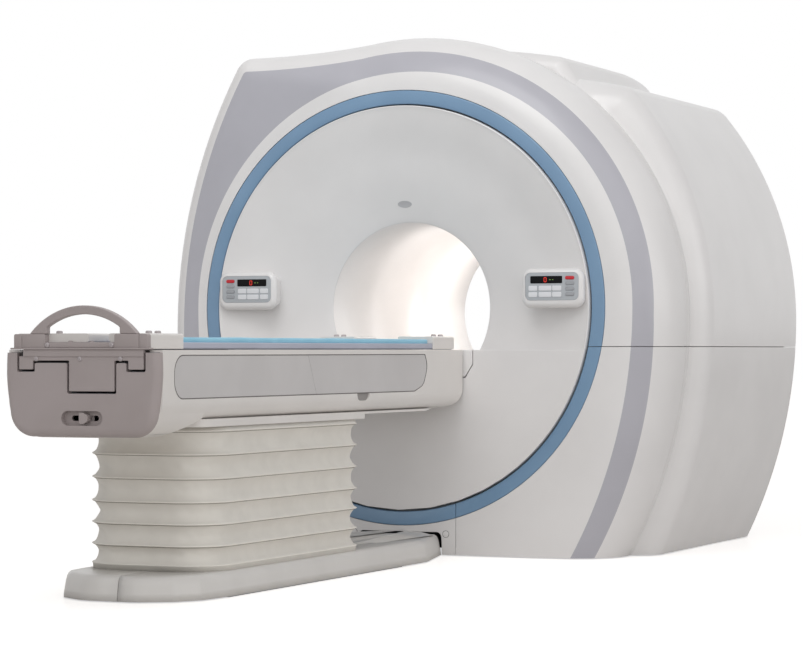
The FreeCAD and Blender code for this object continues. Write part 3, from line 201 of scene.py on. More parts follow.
# name, two tones, roughness, grain in millimetres, depth of the grain in millimetres
finishes = {
    # polyurethane lacquer sprayed on moulded covers: an even white with a soft sheen
    "cover_white": mouldedFinish("lacqueredCoverMoulding", "#DEDCDB", "#E2E0DF", 0.32, 1.4, 0.02, coat=0.15),
    # the same lacquer in grey, sprayed over a mask: a flat band with the covers' gloss
    "cover_grey": mouldedFinish("greyBandLacquer", "#AEADB4", "#B2B1B8", 0.34, 1.4, 0.02, coat=0.15),
    # blue lacquer on the ring moulding: a little glossier than the covers
    "ring_blue": mouldedFinish("blueRingLacquer", "#7191AF", "#7797B5", 0.30, 1.2, 0.02, coat=0.25),
    # gel-coated glass fibre: smooth, and bright in the light of the bore
    "bore_white": mouldedFinish("gelCoatBoreLiner", "#F4F0ED", "#F8F4F1", 0.28, 1.6, 0.01, coat=0.2),
    # lacquered moulding of the table: warmer and duller than the gantry
    "table_white": mouldedFinish("lacqueredTableMoulding", "#DCD8D4", "#E0DCD8", 0.36, 1.2, 0.02, coat=0.1),
    # grained ABS sheet: matt, with a fine pebble
    "panel_grey": mouldedFinish("grainedAbsPanel", "#C3C0BF", "#C8C5C4", 0.46, 0.9, 0.05),
    # grained polyurethane moulding: a matt warm grey
    "cap_taupe": mouldedFinish("grainedTaupeMoulding", "#A39997", "#A99F9E", 0.48, 1.0, 0.06),
    # pressed laminate board: flat, and slightly blue at its edge
    "board_grey": mouldedFinish("laminateBoard", "#A9ACBA", "#B0B3C1", 0.4, 1.2, 0.03),
    # lacquered base cover: a shade darker than the housing above it
    "base_white": mouldedFinish("mouldedBaseCover", "#CDCAC6", "#D2CFCB", 0.36, 1.2, 0.02, coat=0.1),
    # silk-screened polyester foil: smooth, with a dull sheen
    "keypad_grey": mouldedFinish("keypadFoil", "#AEB2B6", "#B3B7BB", 0.4, 0.7, 0.02),
    # moulded ABS keys: dull grey ones, and a glossier red one
    "key_grey": mouldedFinish("greyKeyAbs", "#9C9EA2", "#A2A4A8", 0.42, 0.7, 0.02),
    "key_red": mouldedFinish("redKeyAbs", "#BE1A26", "#C61E2A", 0.3, 0.7, 0.01, coat=0.2),
    # printed film over the pale keys: light, with a little gloss
    "key_pale": mouldedFinish("paleKeyFilm", "#DDDEE1", "#E2E3E6", 0.36, 0.7, 0.01),
    # smoked acrylic: nearly black, with a weak mirror
    "display_black": mouldedFinish("smokedAcrylic", "#060607", "#0A0A0C", 0.4, 0.9, 0.005, ior=1.25),
    # light-emitting segments behind the window: plain coloured bars
    "digit_red": mouldedFinish("redSegments", "#F03020", "#FA3C2A", 0.4, 0.7, 0.0),
    "digit_green": mouldedFinish("greenSegments", "#6F9440", "#7DA24C", 0.4, 0.7, 0.0),
    # frosted acrylic: a milky grey
    "window_grey": mouldedFinish("frostedWindow", "#B2B1B3", "#B8B7B9", 0.45, 0.9, 0.01),
    # lacquered screw heads and knobs: small, with bright rims
    "screw_grey": mouldedFinish("paintedScrewHead", "#A9A1A2", "#B1A9AA", 0.3, 0.7, 0.01, coat=0.2),
    # coated polyester cloth of the bellows: dull, its threads showing through the coat
    "bellows_cloth": wovenFinish("coatedBellowsCloth", "#D9D5CD", "#DFDBD3", 2.4, 0.10, 0.62, 0.15),
    # cord sewn into the bellows' ridges: smoother and paler than the cloth
    "piping": mouldedFinish("bellowsPiping", "#E2DED6", "#E6E2DA", 0.5, 1.5, 0.02),
    # the cloth tucked under a ridge: painted shade, darker than the open cloth
    "fold_dark": mouldedFinish("bellowsFoldShade", "#98938A", "#9E998F", 0.7, 1.5, 0.02),
    # coated mattress cloth: wipeable, with a faint weave
    "mattress_blue": wovenFinish("coatedMattressCloth", "#86C3DC", "#90CBE2", 2.0, 0.08, 0.5, 0.2),
    # narrow joints and hollows where little light falls: dull and darker than their surroundings
    "groove_grey": mouldedFinish("shadowedGroove", "#6A6663", "#726E6B", 0.6, 1.2, 0.02),
    "notch_grey": mouldedFinish("shadedNotch", "#8B8784", "#928E8B", 0.6, 1.2, 0.02),
    # painted shade: a nearly black matt strip set deep in the cover seams and round the kick plugs, standing
    # in for the shade inside these gaps
    "seam_dark": mouldedFinish("seamRubber", "#2A2B2D", "#303134", 0.6, 1.5, 0.02),
    # ground steel of the lift tubes: bare, with fine long lines
    "steel": brushedFinish("machinedSteel", "#A0A2A5", "#ACAEB1", 0.32, 3.0),
    # rolled stainless sheet of the vessel: lighter, with softer lines
    "vessel_steel": brushedFinish("weldedStainless", "#B2B5B8", "#BFC2C5", 0.36, 4.0),
    # polyester powder coat on steel: an orange-peel grain
    "frame_paint": mouldedFinish("powderCoatedSteel", "#868A8E", "#8F9397", 0.5, 1.1, 0.05),
    # copper wire potted in epoxy: brown metal under resin
    "winding_copper": mouldedFinish("pottedCopperWinding", "#AA6A38", "#BC7A44", 0.4, 1.5, 0.1, metallic=0.7),
    # cast epoxy: warm and a little glassy
    "coil_resin": mouldedFinish("castEpoxy", "#B8A172", "#C4AD7E", 0.4, 2.0, 0.05),
    # painted cast iron: a coarse grain under the paint
    "saddle_iron": mouldedFinish("paintedIron", "#505356", "#5A5D60", 0.55, 2.5, 0.2),
}
print("materials ready")


# a chain of vertices along a line, and its edges
def hoop(bm, points, closed=True):
    verts = [bm.verts.new(point) for point in points]
    ends = verts[1:] + verts[:1] if closed else verts[1:]
    return [bm.edges.new(pair) for pair in zip(verts, ends)]


# faces from each hoop to the next; paint gives the material index of each band
def bridgeHoops(bm, hoops, paint=None):
    for index, (one, other) in enumerate(zip(hoops, hoops[1:])):
        made = bmesh.ops.bridge_loops(bm, edges=one + other)
        for face in made["faces"]:
            face.material_index = paint[index] if paint else 0


# fills the first and the last hoop
def closeEnds(bm, hoops):
    for ring in (hoops[0], hoops[-1]):
        bmesh.ops.holes_fill(bm, edges=ring, sides=0)
    bmesh.ops.recalc_face_normals(bm, faces=bm.faces)


# turns the whole skin round if the picked face looks the other way
def faceTowards(bm, direction, pick):
    bmesh.ops.recalc_face_normals(bm, faces=bm.faces)
    if max(bm.faces, key=pick).normal.dot(Vector(direction)) < 0.0:
        bmesh.ops.reverse_faces(bm, faces=bm.faces)


# profile of (radius, depth), turned about the bore's axis
def spinProfile(points, steps=192):
    bm = bmesh.new()
    hoop(bm, [(radius, gantry["frontY"] + depth, gantry["axisHeight"]) for radius, depth in points], False)
    bmesh.ops.spin(bm, geom=bm.verts[:] + bm.edges[:], cent=axisPoint, axis=(0.0, 1.0, 0.0),
                   angle=2.0 * math.pi, steps=steps, use_merge=True)
    bmesh.ops.remove_doubles(bm, verts=bm.verts, dist=1e-6)
    bmesh.ops.recalc_face_normals(bm, faces=bm.faces)
    return bm


# what a cut drops: a point on its plane, and the way out
def under(z):
    return (0.0, 0.0, z), (0.0, 0.0, -1.0)


def over(z):
    return (0.0, 0.0, z), (0.0, 0.0, 1.0)


def beside(x, side):
    return (x, 0.0, 0.0), (side, 0.0, 0.0)


def cutAway(bm, *cuts, close=False):
    for point, normal in cuts:
        geom = bm.verts[:] + bm.edges[:] + bm.faces[:]
        bmesh.ops.bisect_plane(bm, geom=geom, plane_co=point, plane_no=normal, clear_outer=True)
        if close:
            bmesh.ops.holes_fill(bm, edges=bm.edges, sides=0)
            bmesh.ops.recalc_face_normals(bm, faces=bm.faces)


# corners on the right, and the same ones mirrored on the left
def bothSides(half):
    return list(half) + [(-corner[0], *corner[1:]) for corner in reversed(half)]


# points round a polygon of (x, z, radius), anticlockwise, with an arc at each corner
def roundedOutline(corners, turnStep=9.0):
    area = sum(a[0] * b[1] - b[0] * a[1] for a, b in zip(corners, corners[1:] + corners[:1]))
    if area < 0.0:
        corners = corners[::-1]
    points = []
    for index, (x, z, radius) in enumerate(corners):
        here = Vector((x, z))
        back = (Vector(corners[index - 1][:2]) - here).normalized()
        ahead = (Vector(corners[(index + 1) % len(corners)][:2]) - here).normalized()
        if radius <= 0.0:
            points.append(here)
            continue
        half = back.angle(ahead) / 2.0
        centre = here + (back + ahead).normalized() * radius / math.sin(half)
        first = here + back * radius / math.tan(half) - centre
        last = here + ahead * radius / math.tan(half) - centre
        turn = math.atan2(first.x * last.y - first.y * last.x, first.dot(last))
        steps = max(2, math.ceil(abs(math.degrees(turn)) / turnStep))
        points += [centre + Matrix.Rotation(turn * step / steps, 2) @ first for step in range(steps + 1)]
    return points


def insetOutline(points, inset):
    moved = []
    for index, here in enumerate(points):
        before = (here - points[index - 1]).normalized()
        after = (points[(index + 1) % len(points)] - here).normalized()
        inwards = Vector((-before.y - after.y, before.x + after.x)).normalized()
        moved.append(here + inwards * inset / max(0.3, inwards.dot(Vector((-before.y, before.x)))))
    return moved


# where a point of an outline lies when the outline is drawn from the front, the side or above
def seenFront(point, depth):
    return (point.x, depth, point.y)


def seenSide(point, depth):
    return (depth, point.x, point.y)


def seenDown(point, height):
    return (point.x, gantry["frontY"] + point.y, height)


# closed solid between two depths from an outline, with a rounded front edge
def slab(outline, front, back, edge=0.0, place=seenFront, bm=None, edgeSteps=5, backInset=0.0):
    bm = bm or bmesh.new()
    away = 1.0 if back > front else -1.0
    levels = [(backInset, back)]
    if edge:
        turns = [math.radians(90.0 * step / edgeSteps) for step in range(edgeSteps + 1)]
        levels += [(edge * (1.0 - math.cos(t)), front + away * edge * (1.0 - math.sin(t))) for t in turns]
    else:
        levels.append((0.0, front))
    hoops = [hoop(bm, [place(point, depth) for point in insetOutline(outline, inset)])
             for inset, depth in levels]
    bridgeHoops(bm, hoops)
    closeEnds(bm, hoops)
    return bm


# the slab of a rectangle with round corners, from its middle
def block(x, z, length, rise, corner, front, back, edge=0.0, **more):
    left, right, low, top = x - length / 2, x + length / 2, z - rise / 2, z + rise / 2
    corners = [(left, low, corner), (right, low, corner), (right, top, corner), (left, top, corner)]
    return slab(roundedOutline(corners), front, back, edge, **more)


# its corner stays a little under the radius, so that two corners never meet in one point
def roundBlock(x, z, radius, front, back, edge=0.0, **more):
    return block(x, z, 2 * radius, 2 * radius, radius * 0.998, front, back, edge, **more)


# the mesh less the closed tool meshes
def carve(bm, tools):
    bodies = []
    for part in [bm] + tools:
        mesh = bpy.data.meshes.new("carving")
        part.to_mesh(mesh)
        part.free()
        body = bpy.data.objects.new("carving", mesh)
        bpy.context.scene.collection.objects.link(body)
        bodies.append(body)
    for tool in bodies[1:]:
        cut = bodies[0].modifiers.new("cut", "BOOLEAN")
        cut.object, cut.operation, cut.solver = tool, "DIFFERENCE", "EXACT"
    shape = bodies[0].evaluated_get(bpy.context.evaluated_depsgraph_get())
    result = bmesh.new()
    result.from_mesh(shape.to_mesh())
    for body in bodies:
        mesh = body.data
        bpy.data.objects.remove(body)
        bpy.data.meshes.remove(mesh)
    return result


# mesh to object, with its walls and soft edges as modifiers
def finishPiece(bm, name, slots, replaced, rides="gantry", wall=0.0, edgeRound=0.0, sharpAngle=38.0):
    for face in bm.faces:
        face.smooth = True
    for edge in bm.edges:
        edge.smooth = not (edge.is_manifold and edge.calc_face_angle() > math.radians(sharpAngle))
    mesh = bpy.data.meshes.new(name)
    bm.to_mesh(mesh)
    bm.free()
    for slotName in slots:
        mesh.materials.append(finishes[slotName])
    piece = bpy.data.objects.new(name, mesh)
    bpy.context.scene.collection.objects.link(piece)
    if wall:
        solid = piece.modifiers.new("wall", "SOLIDIFY")
        solid.thickness = wall
        solid.offset = -1.0
        solid.use_even_offset = True
    if edgeRound:
        rounding = piece.modifiers.new("edges", "BEVEL")
        rounding.width = edgeRound
        rounding.segments = 2
        rounding.limit_method = "ANGLE"
        rounding.angle_limit = math.radians(sharpAngle)
        rounding.harden_normals = True
    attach(piece, rides)
    if replaced:
        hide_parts(*replaced)
        replacedBy[piece.name] = replaced
    return piece


# outlines of the gantry as arcs: centre, radius, first and last angle, and 1 or -1 for a hollow one
frontOutline = {
    "halfWidth": 1.152, "shoulder": 0.975, "crestRadius": 1.160, "lowerRadius": 2.000,
    "wingHalfWidth": 1.062, "wingHeight": 0.930, "wingSideRadius": 2.220, "cornerRadius": 0.085,
    "flankRadius": 3.470, "crestSlope": 10.0, "heelRadius": 0.300,
}
bodyOutline = {
    "halfWidth": 1.222, "height": 0.970, "upperRadius": 1.450, "lowerRadius": 2.190,
    "cornerRadius": 0.112, "roofHeight": 2.008, "roofRadius": 4.000,
}
spineOutline = {"halfWidth": 0.645, "height": 2.098, "radius": 3.200, "lean": 30.0, "edgeRadius": 0.060}


def bearing(start, end):
    return math.degrees(math.atan2(end[1] - start[1], end[0] - start[0]))


def circleMeet(first, firstRadius, second, secondRadius, side):
    dx, dz = second[0] - first[0], second[1] - first[1]
    apart = math.hypot(dx, dz)
    along = (firstRadius ** 2 - secondRadius ** 2 + apart ** 2) / (2.0 * apart)
    across = math.sqrt(max(firstRadius ** 2 - along ** 2, 0.0))
    return (first[0] + (along * dx - side * across * dz) / apart,
            first[1] + (along * dz + side * across * dx) / apart)


def heelCentre(centre, radius, side):
    inner = radius - frontOutline["heelRadius"]
    return (centre[0] + side * math.sqrt(inner ** 2 - centre[1] ** 2), 0.0)


def withMirror(arcs):
    left = [((-centre[0], centre[1]), radius, 180.0 - end, 180.0 - start, bulge)
            for centre, radius, start, end, bulge in reversed(arcs)]
    return arcs + left


def frontArcs():
    o = frontOutline
    lower = (o["halfWidth"] - o["lowerRadius"], o["shoulder"])
    crest = (o["halfWidth"] - o["crestRadius"], o["shoulder"])
    lean = math.radians(o["crestSlope"])
    reach = o["crestRadius"] + o["flankRadius"]
    flank = (crest[0] - reach * math.sin(lean), crest[1] + reach * math.cos(lean))
    side = (o["wingSideRadius"] - o["wingHalfWidth"], o["wingHeight"])
    leftLower = (o["lowerRadius"] - o["wingHalfWidth"], o["wingHeight"])
    corner = circleMeet(flank, o["flankRadius"] + o["cornerRadius"], side,
                        o["wingSideRadius"] - o["cornerRadius"], -1)
    rightHeel, leftHeel = heelCentre(lower, o["lowerRadius"], 1), heelCentre(leftLower, o["lowerRadius"], -1)
    leftEnd = 360.0 + bearing(leftLower, leftHeel)
    flat = 200.0             # radius of the nearly level line below the floor
    bottom = (0.0, flat - o["heelRadius"])
    return [
        (rightHeel, o["heelRadius"], -90.0, bearing(lower, rightHeel), 1),
        (lower, o["lowerRadius"], bearing(lower, rightHeel), 0.0, 1),
        (crest, o["crestRadius"], 0.0, 90.0 + o["crestSlope"], 1),
        (flank, o["flankRadius"], o["crestSlope"] - 90.0, bearing(flank, corner), -1),
        (corner, o["cornerRadius"], bearing(corner, flank), bearing(side, corner), 1),
        (side, o["wingSideRadius"], bearing(side, corner), 180.0, 1),
        (leftLower, o["lowerRadius"], 180.0, leftEnd, 1),
        (leftHeel, o["heelRadius"], leftEnd, 270.0, 1),
        (bottom, flat, 270.0 + math.degrees(math.asin(leftHeel[0] / flat)),
         270.0 + math.degrees(math.asin(rightHeel[0] / flat)), 1),
    ]


def bodyArcs():
    o = bodyOutline
    lower = (o["halfWidth"] - o["lowerRadius"], o["height"])
    upper = (o["halfWidth"] - o["upperRadius"], o["height"])
    roof = (0.0, o["roofHeight"] - o["roofRadius"])
    corner = circleMeet(upper, o["upperRadius"] - o["cornerRadius"], roof,
                        o["roofRadius"] - o["cornerRadius"], 1)
    heel = heelCentre(lower, o["lowerRadius"], 1)
    return withMirror([
        (heel, frontOutline["heelRadius"], -90.0, bearing(lower, heel), 1),
        (lower, o["lowerRadius"], bearing(lower, heel), 0.0, 1),
        (upper, o["upperRadius"], 0.0, bearing(upper, corner), 1),
        (corner, o["cornerRadius"], bearing(upper, corner), bearing(roof, corner), 1),
        (roof, o["roofRadius"], bearing(roof, corner), 90.0, 1),
    ])


def spineArcs():
    o, b = spineOutline, bodyOutline
    crease = (o["halfWidth"], b["roofHeight"] - b["roofRadius"]
              + math.sqrt(b["roofRadius"] ** 2 - o["halfWidth"] ** 2))
    lean = math.radians(o["lean"])
    flank = (crease[0] - o["radius"] * math.cos(lean), crease[1] - o["radius"] * math.sin(lean))
    top = (0.0, o["height"] - o["radius"])
    edge = circleMeet(flank, o["radius"] - o["edgeRadius"], top, o["radius"] - o["edgeRadius"], 1)
    return withMirror([
        (flank, o["radius"], o["lean"] - 3.0, bearing(flank, edge), 1),
        (edge, o["edgeRadius"], bearing(flank, edge), bearing(top, edge), 1),
        (top, o["radius"], bearing(top, edge), 90.0, 1),
    ])


def arcPoint(arc, angle, inset):
    centre, reach, turn = arc[0], arc[1] - arc[4] * inset, math.radians(angle)
    return (centre[0] + reach * math.cos(turn), centre[1] + reach * math.sin(turn))


# (arc number, angle) at even steps round an outline
def stationsAlong(arcs, spacing, turnStep=5.0):
    found = []
    for number, arc in enumerate(arcs):
        radius, start, end = arc[1:4]
        span = abs(end - start)
        steps = max(2, math.ceil(math.radians(span) * radius / spacing), math.ceil(span / turnStep))
        found += [(number, start + (end - start) * i / steps) for i in range(steps)]
    found.append((len(arcs) - 1, arcs[-1][3]))
    return found


# whether an arc spans an angle, in whole turns
def onArc(arc, angle, slack):
    low, high = sorted(arc[2:4])
    while angle < low - slack:
        angle += 360.0
    return angle <= high + slack


# how far a point lies inside an outline
def insetAt(arcs, x, z):
    best = math.inf
    for arc in arcs:
        centre, radius, bulge = arc[0], arc[1], arc[4]
        if onArc(arc, bearing(centre, (x, z)), 1e-6):
            best = min(best, bulge * (radius - math.hypot(x - centre[0], z - centre[1])))
    return best


# distance from the bore's axis to an outline, moved inwards by inset, along a ray
def reachAt(arcs, angle, inset):
    ux, uz = math.cos(angle), math.sin(angle)
    best = 0.0
    for arc in arcs:
        centre, size = arc[0], arc[1] - arc[4] * inset
        cx, cz = centre[0], centre[1] - gantry["axisHeight"]
        along = cx * ux + cz * uz
        off = cx * cx + cz * cz - size * size
        if along * along < off or size <= 0.0:
            continue
        root = math.sqrt(along * along - off)
        for reach in (along + root, along - root):
            spot = (reach * ux, reach * uz + gantry["axisHeight"])
            if reach > 0.0 and onArc(arc, bearing(centre, spot), 0.02):
                best = max(best, reach)
    if best < 0.5 and uz < 0.0:      # the level line below the floor
        best = (gantry["axisHeight"] + frontOutline["heelRadius"] - inset) / -uz
    return best


# front covers, with the grey band sprayed on them
frontCover = {
    "round": 0.225,          # large rounded edge on the right and over the crest
    "wingRound": 0.078,      # tighter edge round the wing on the left
    "seamDepth": 0.250,      # where the strip behind it begins
    "holeRadius": 0.8915,
    "bandOuter": (0.077, 0.077, 0.062),   # band's distance from the outline: right, crest, wing
    "bandOuterFloor": 0.068, "bandOuterDip": 0.016,
    "bandInner": 0.966,      # band's inner edge: a circle, a little right of the axis
    "bandInnerShift": 0.035, "bandLowerRadius": 2.050, "bandLeast": 0.03,
    "rimSteps": 8, "bandSteps": 6, "faceSteps": 3, "spacing": (0.035, 4.0),
    # dark strip deep in the joint behind the front cover, painted shade of the gap: its inset, depths, floor
    # and spacing
    "sealInset": 0.006, "sealDepths": (0.238, 0.262), "sealFloor": 0.006, "sealSpacing": (0.05, 4.0),
    "edgeRound": 0.0016,
}


def edgeRoundAt(arcs, station):
    number, angle = station
    big, small = frontCover["round"], frontCover["wingRound"]
    if number <= 2:
        return big
    if number in (3, 8):
        start, end = arcs[number][2], arcs[number][3]
        share = (angle - start) / (end - start)
        return big + (small - big) * (share if number == 3 else 1.0 - share)
    return small


def bandOuterAt(arcs, station):
    number, angle = station
    floor = frontCover["bandOuterFloor"]
    right, crest, wing = frontCover["bandOuter"]
    if number <= 1:
        height = min(1.0, max(0.0, arcPoint(arcs[number], angle, 0.0)[1]))
        return floor + (right - floor) * height
    if number == 2:
        share = angle / arcs[2][3]
        return right + (crest - right) * share - frontCover["bandOuterDip"] * math.sin(math.pi * share)
    if number == 3:
        return crest + (wing - crest) * (angle - arcs[3][2]) / (arcs[3][3] - arcs[3][2])
    return wing


# radius of the band's inner edge: a circle above the axis, flatter arcs below it
def bandInnerReach(angle):
    shift, size = frontCover["bandInnerShift"], frontCover["bandInner"]
    if math.sin(angle) >= 0.0:
        return shift * math.cos(angle) + math.sqrt(size ** 2 - (shift * math.sin(angle)) ** 2)
    radius, side = frontCover["bandLowerRadius"], size + math.copysign(shift, math.cos(angle))
    back, across = radius - side, abs(math.cos(angle))
    return -back * across + math.sqrt(back * back * (across * across - 1.0) + radius * radius)


# how deep the front surface lies at a distance from the outline
def frontDepth(inset, rounding):
    if inset >= rounding:
        return 0.0
    return rounding - math.sqrt(max(rounding ** 2 - (rounding - inset) ** 2, 0.0))


# the whole front cover as one skin: rear edge, rounded rim, band, flat face, hole
def frontSkin():
    o, arcs, axis = frontCover, frontArcs(), Vector((0.0, gantry["axisHeight"]))
    rows = []
    for station in stationsAlong(arcs, *o["spacing"])[:-1]:
        arc, angle = arcs[station[0]], station[1]
        rounding, outer = edgeRoundAt(arcs, station), bandOuterAt(arcs, station)
        rim = arcPoint(arc, angle, 0.0)
        row = [(rim, o["seamDepth"] - gantry["seamGap"]), (rim, (rounding + o["seamDepth"]) / 2.0)]
        turnAtBand = math.acos(1.0 - outer / rounding)
        for step in range(o["rimSteps"] + 1):
            turn = turnAtBand * step / o["rimSteps"]
            inset = rounding * (1.0 - math.cos(turn))
            row.append((arcPoint(arc, angle, inset), rounding * (1.0 - math.sin(turn))))
        edge = Vector(row[-1][0]) - axis
        ray = edge.normalized()
        band = ray * min(bandInnerReach(math.atan2(edge.y, edge.x)), edge.length - o["bandLeast"])
        hole = ray * o["holeRadius"]
        for start, end, steps in ((edge, band, o["bandSteps"]), (band, hole, o["faceSteps"])):
            for step in range(1, steps + 1):
                point = start.lerp(end, step / steps) + axis
                row.append((point, frontDepth(insetAt(arcs, *point), rounding)))
        rows.append(row)
    bm = bmesh.new()
    hoops = [hoop(bm, [(point[0], gantry["frontY"] + depth, point[1]) for point, depth in level])
             for level in zip(*rows)]
    bridgeHoops(bm, hoops, [0] * (o["rimSteps"] + 2) + [1] * o["bandSteps"] + [0] * o["faceSteps"])
    faceTowards(bm, (0, -1, 0), lambda face: abs(face.normal.y) * face.calc_area())
    return bm


# flat panel under the ring, cut out for the table's base, with two round plugs
kickPanel = {
    "half": 0.249, "cutHalf": 0.184, "cutTop": 0.095, "cutCorner": 0.022, "cutFlare": 0.004, "arcSteps": 24,
    "plugAt": (0.205, 0.088), "plugRadius": 0.013, "plugProud": 0.0016, "plugEdge": 0.0008, "plugSink": 0.002,
    "plugSeam": 0.0015, "seamProud": 0.0003, "edgeRound": 0.0012,
}


def buildKickPanel():
    o, front = kickPanel, gantry["frontY"]
    half, low = o["half"] - halfGap, gantry["floorGap"]
    arc = []
    for step in range(o["arcSteps"] + 1):
        x = half - 2.0 * half * step / o["arcSteps"]
        arc.append((x, gantry["axisHeight"] - math.sqrt(frontCover["holeRadius"] ** 2 - x * x), 0.0))
    foot = bothSides([(-half, low, 0.0), (-o["cutHalf"] - o["cutFlare"], low, 0.0),
                      (-o["cutHalf"], o["cutTop"], o["cutCorner"])])
    bm = slab(roundedOutline(foot + arc), front, front + gantry["wall"])
    bmesh.ops.triangulate(bm, faces=[face for face in bm.faces if len(face.verts) > 4])
    bmesh.ops.dissolve_limit(bm, angle_limit=math.radians(0.5), verts=bm.verts, edges=bm.edges)
    finishPiece(bm, "kickPanel", ["cover_white"], ["kick_panel"], edgeRound=o["edgeRound"], sharpAngle=50.0)
    # the plugs, and a thin dark ring round each: painted shade of the gap round the plug
    (x, z), radius, ringRadius = o["plugAt"], o["plugRadius"], o["plugRadius"] + o["plugSeam"]
    for name, slotName, reach, corner, proud, edge in (
            ("kickPlugs", "cover_white", radius, radius * 0.999, o["plugProud"], o["plugEdge"]),
            ("kickPlugSeams", "seam_dark", ringRadius, ringRadius - 0.0001, o["seamProud"], 0.0)):
        bm = bmesh.new()
        for side in (-1, 1):
            block(side * x, z, 2 * reach, 2 * reach, corner, front - proud, front + o["plugSink"], edge,
                  bm=bm)
        finishPiece(bm, name, [slotName], [])


def buildFrontCovers():
    o, skin = frontCover, frontSkin()
    kick, floor = kickPanel["half"] + halfGap, under(gantry["floorGap"])
    parts = (("frontCoverUpper", "front_cover_upper", [under(seamTop)]),
             ("frontCoverLowerRight", "front_cover_lower_right", [over(seamLow), floor, beside(kick, -1)]),
             ("frontCoverLowerLeft", "front_cover_lower_left", [over(seamLow), floor, beside(-kick, 1)]))
    for name, node, cuts in parts:
        piece = skin.copy()
        cutAway(piece, *cuts)
        finishPiece(piece, name, ["cover_white", "cover_grey"], [node], wall=gantry["wall"],
                    edgeRound=o["edgeRound"])
    skin.free()
    # a nearly black strip deep in the joint between front and side covers: painted shade of the gap
    arcs, seamShadeStrip = frontArcs(), bmesh.new()
    line = [Vector(arcPoint(arcs[number], angle, o["sealInset"]))
            for number, angle in stationsAlong(arcs, *o["sealSpacing"])[:-1]]
    bridgeHoops(seamShadeStrip, [hoop(seamShadeStrip, [seenFront(point, gantry["frontY"] + depth) for point in line])
                       for depth in o["sealDepths"]])
    cutAway(seamShadeStrip, under(o["sealFloor"]))
    finishPiece(seamShadeStrip, "coverSeal", ["seam_dark"], [])


# side covers: the strip behind the front cover runs softly into the rear body
sideCover = {
    "stripEnd": 0.330, "stripRound": 0.060, "bodyStart": 0.290, "bodyRound": 0.100,
    "rearEnd": 1.640, "rearRound": 0.060, "rearFlange": 0.100,
    "blend": 0.042,          # softness of the valley between strip and body
    "fall": 40.0,            # how steeply strip and body drop away past their ends
    "depths": (0.250, 0.260, 0.270, 0.280, 0.329, 0.331, 0.334, 0.42, 0.55, 0.75, 0.95, 1.15, 1.35, 1.5),
    "valleys": ((0.285, 0.005), (0.338, 0.0065)), "valleySteps": 9,      # close hoops where the shapes meet
    "stations": 300, "cornerSteps": 8, "edgeRound": 0.0014,
}


def stripReach(arcs, angle, depth):
    o = sideCover
    past = depth - (o["stripEnd"] - o["stripRound"])
    if past <= 0.0:
        return reachAt(arcs, angle, 0.0)
    if past < o["stripRound"]:
        return reachAt(arcs, angle, o["stripRound"] - math.sqrt(o["stripRound"] ** 2 - past ** 2))
    return reachAt(arcs, angle, o["stripRound"]) - (past - o["stripRound"]) * o["fall"]


def bodyReach(arcs, angle, depth):
    o = sideCover
    before = o["bodyStart"] + o["bodyRound"] - depth
    after = depth - (o["rearEnd"] - o["rearRound"])
    if before > o["bodyRound"]:
        return reachAt(arcs, angle, o["bodyRound"]) - (before - o["bodyRound"]) * o["fall"]
    if before > 0.0:
        return reachAt(arcs, angle, o["bodyRound"] - math.sqrt(o["bodyRound"] ** 2 - before ** 2))
    if after > 0.0:
        return reachAt(arcs, angle, o["rearRound"] - math.sqrt(max(o["rearRound"] ** 2 - after ** 2, 0.0)))
    return reachAt(arcs, angle, 0.0)


def softMax(one, other, softness):
    share = max(0.0, min(1.0, 0.5 + 0.5 * (one - other) / softness))
    return other + (one - other) * share + softness * share * (1.0 - share)


def bodySkin():
    o, front, body = sideCover, frontArcs(), bodyArcs()
    depths = set(o["depths"])
    for start, spacing in o["valleys"]:
        depths.update(start + spacing * step for step in range(o["valleySteps"]))
    for turn in range(0, 91, 15):
        depths.add(o["rearEnd"] - o["rearRound"] * (1.0 - math.sin(math.radians(turn))))
    angles = [math.radians(-90.0 + 360.0 * step / o["stations"]) for step in range(o["stations"])]
    for arc in (body[3], body[6]):              # more stations round the upper corners
        for step in range(o["cornerSteps"] + 1):
            x, z = arcPoint(arc, arc[2] + (arc[3] - arc[2]) * step / o["cornerSteps"], 0.0)
            angles.append(math.atan2(z - gantry["axisHeight"], x))
    angles = sorted(a if a >= -math.pi / 2.0 else a + 2.0 * math.pi for a in angles)
    levels = [(depth, [softMax(stripReach(front, a, depth), bodyReach(body, a, depth), o["blend"])
                       for a in angles]) for depth in sorted(depths)]
    levels.append((o["rearEnd"], [reachAt(body, a, o["rearFlange"]) for a in angles]))
    bm, plane = bmesh.new(), gantry["frontY"]
    hoops = [hoop(bm, [axisPoint + Vector((reach * math.cos(a), plane + depth, reach * math.sin(a)))
                       for reach, a in zip(reaches, angles)]) for depth, reaches in levels]
    bridgeHoops(bm, hoops)
    faceTowards(bm, (1, 0, 0), lambda face: face.calc_center_median().x)
    return bm


def buildSideCovers():
    skin = bodySkin()
    levels = {"Upper": [under(seamTop)], "Lower": [over(seamLow), under(gantry["floorGap"])]}
    for word, side in sides:
        for level, cuts in levels.items():
            piece = skin.copy()
            cutAway(piece, beside(side * halfGap, -side), *cuts)
            node = "side_cover_%s_%s" % (level.lower(), word.lower())
            finishPiece(piece, "sideCover" + level + word, ["cover_white"], [node], wall=gantry["wall"],
                        edgeRound=sideCover["edgeRound"], sharpAngle=50.0)
    skin.free()


# raised spine on the roof: rounded front end, level top, long slope to the rear
roofCover = {
    "start": 0.300, "end": 1.575, "endRound": 0.056, "levelDepths": (0.6, 0.8),
    "slope": 0.520, "drop": 0.085, "slopeSteps": 12, "slopeBend": 1.2,
    "spacing": (0.05, 7.0), "edgeRound": 0.002,
}


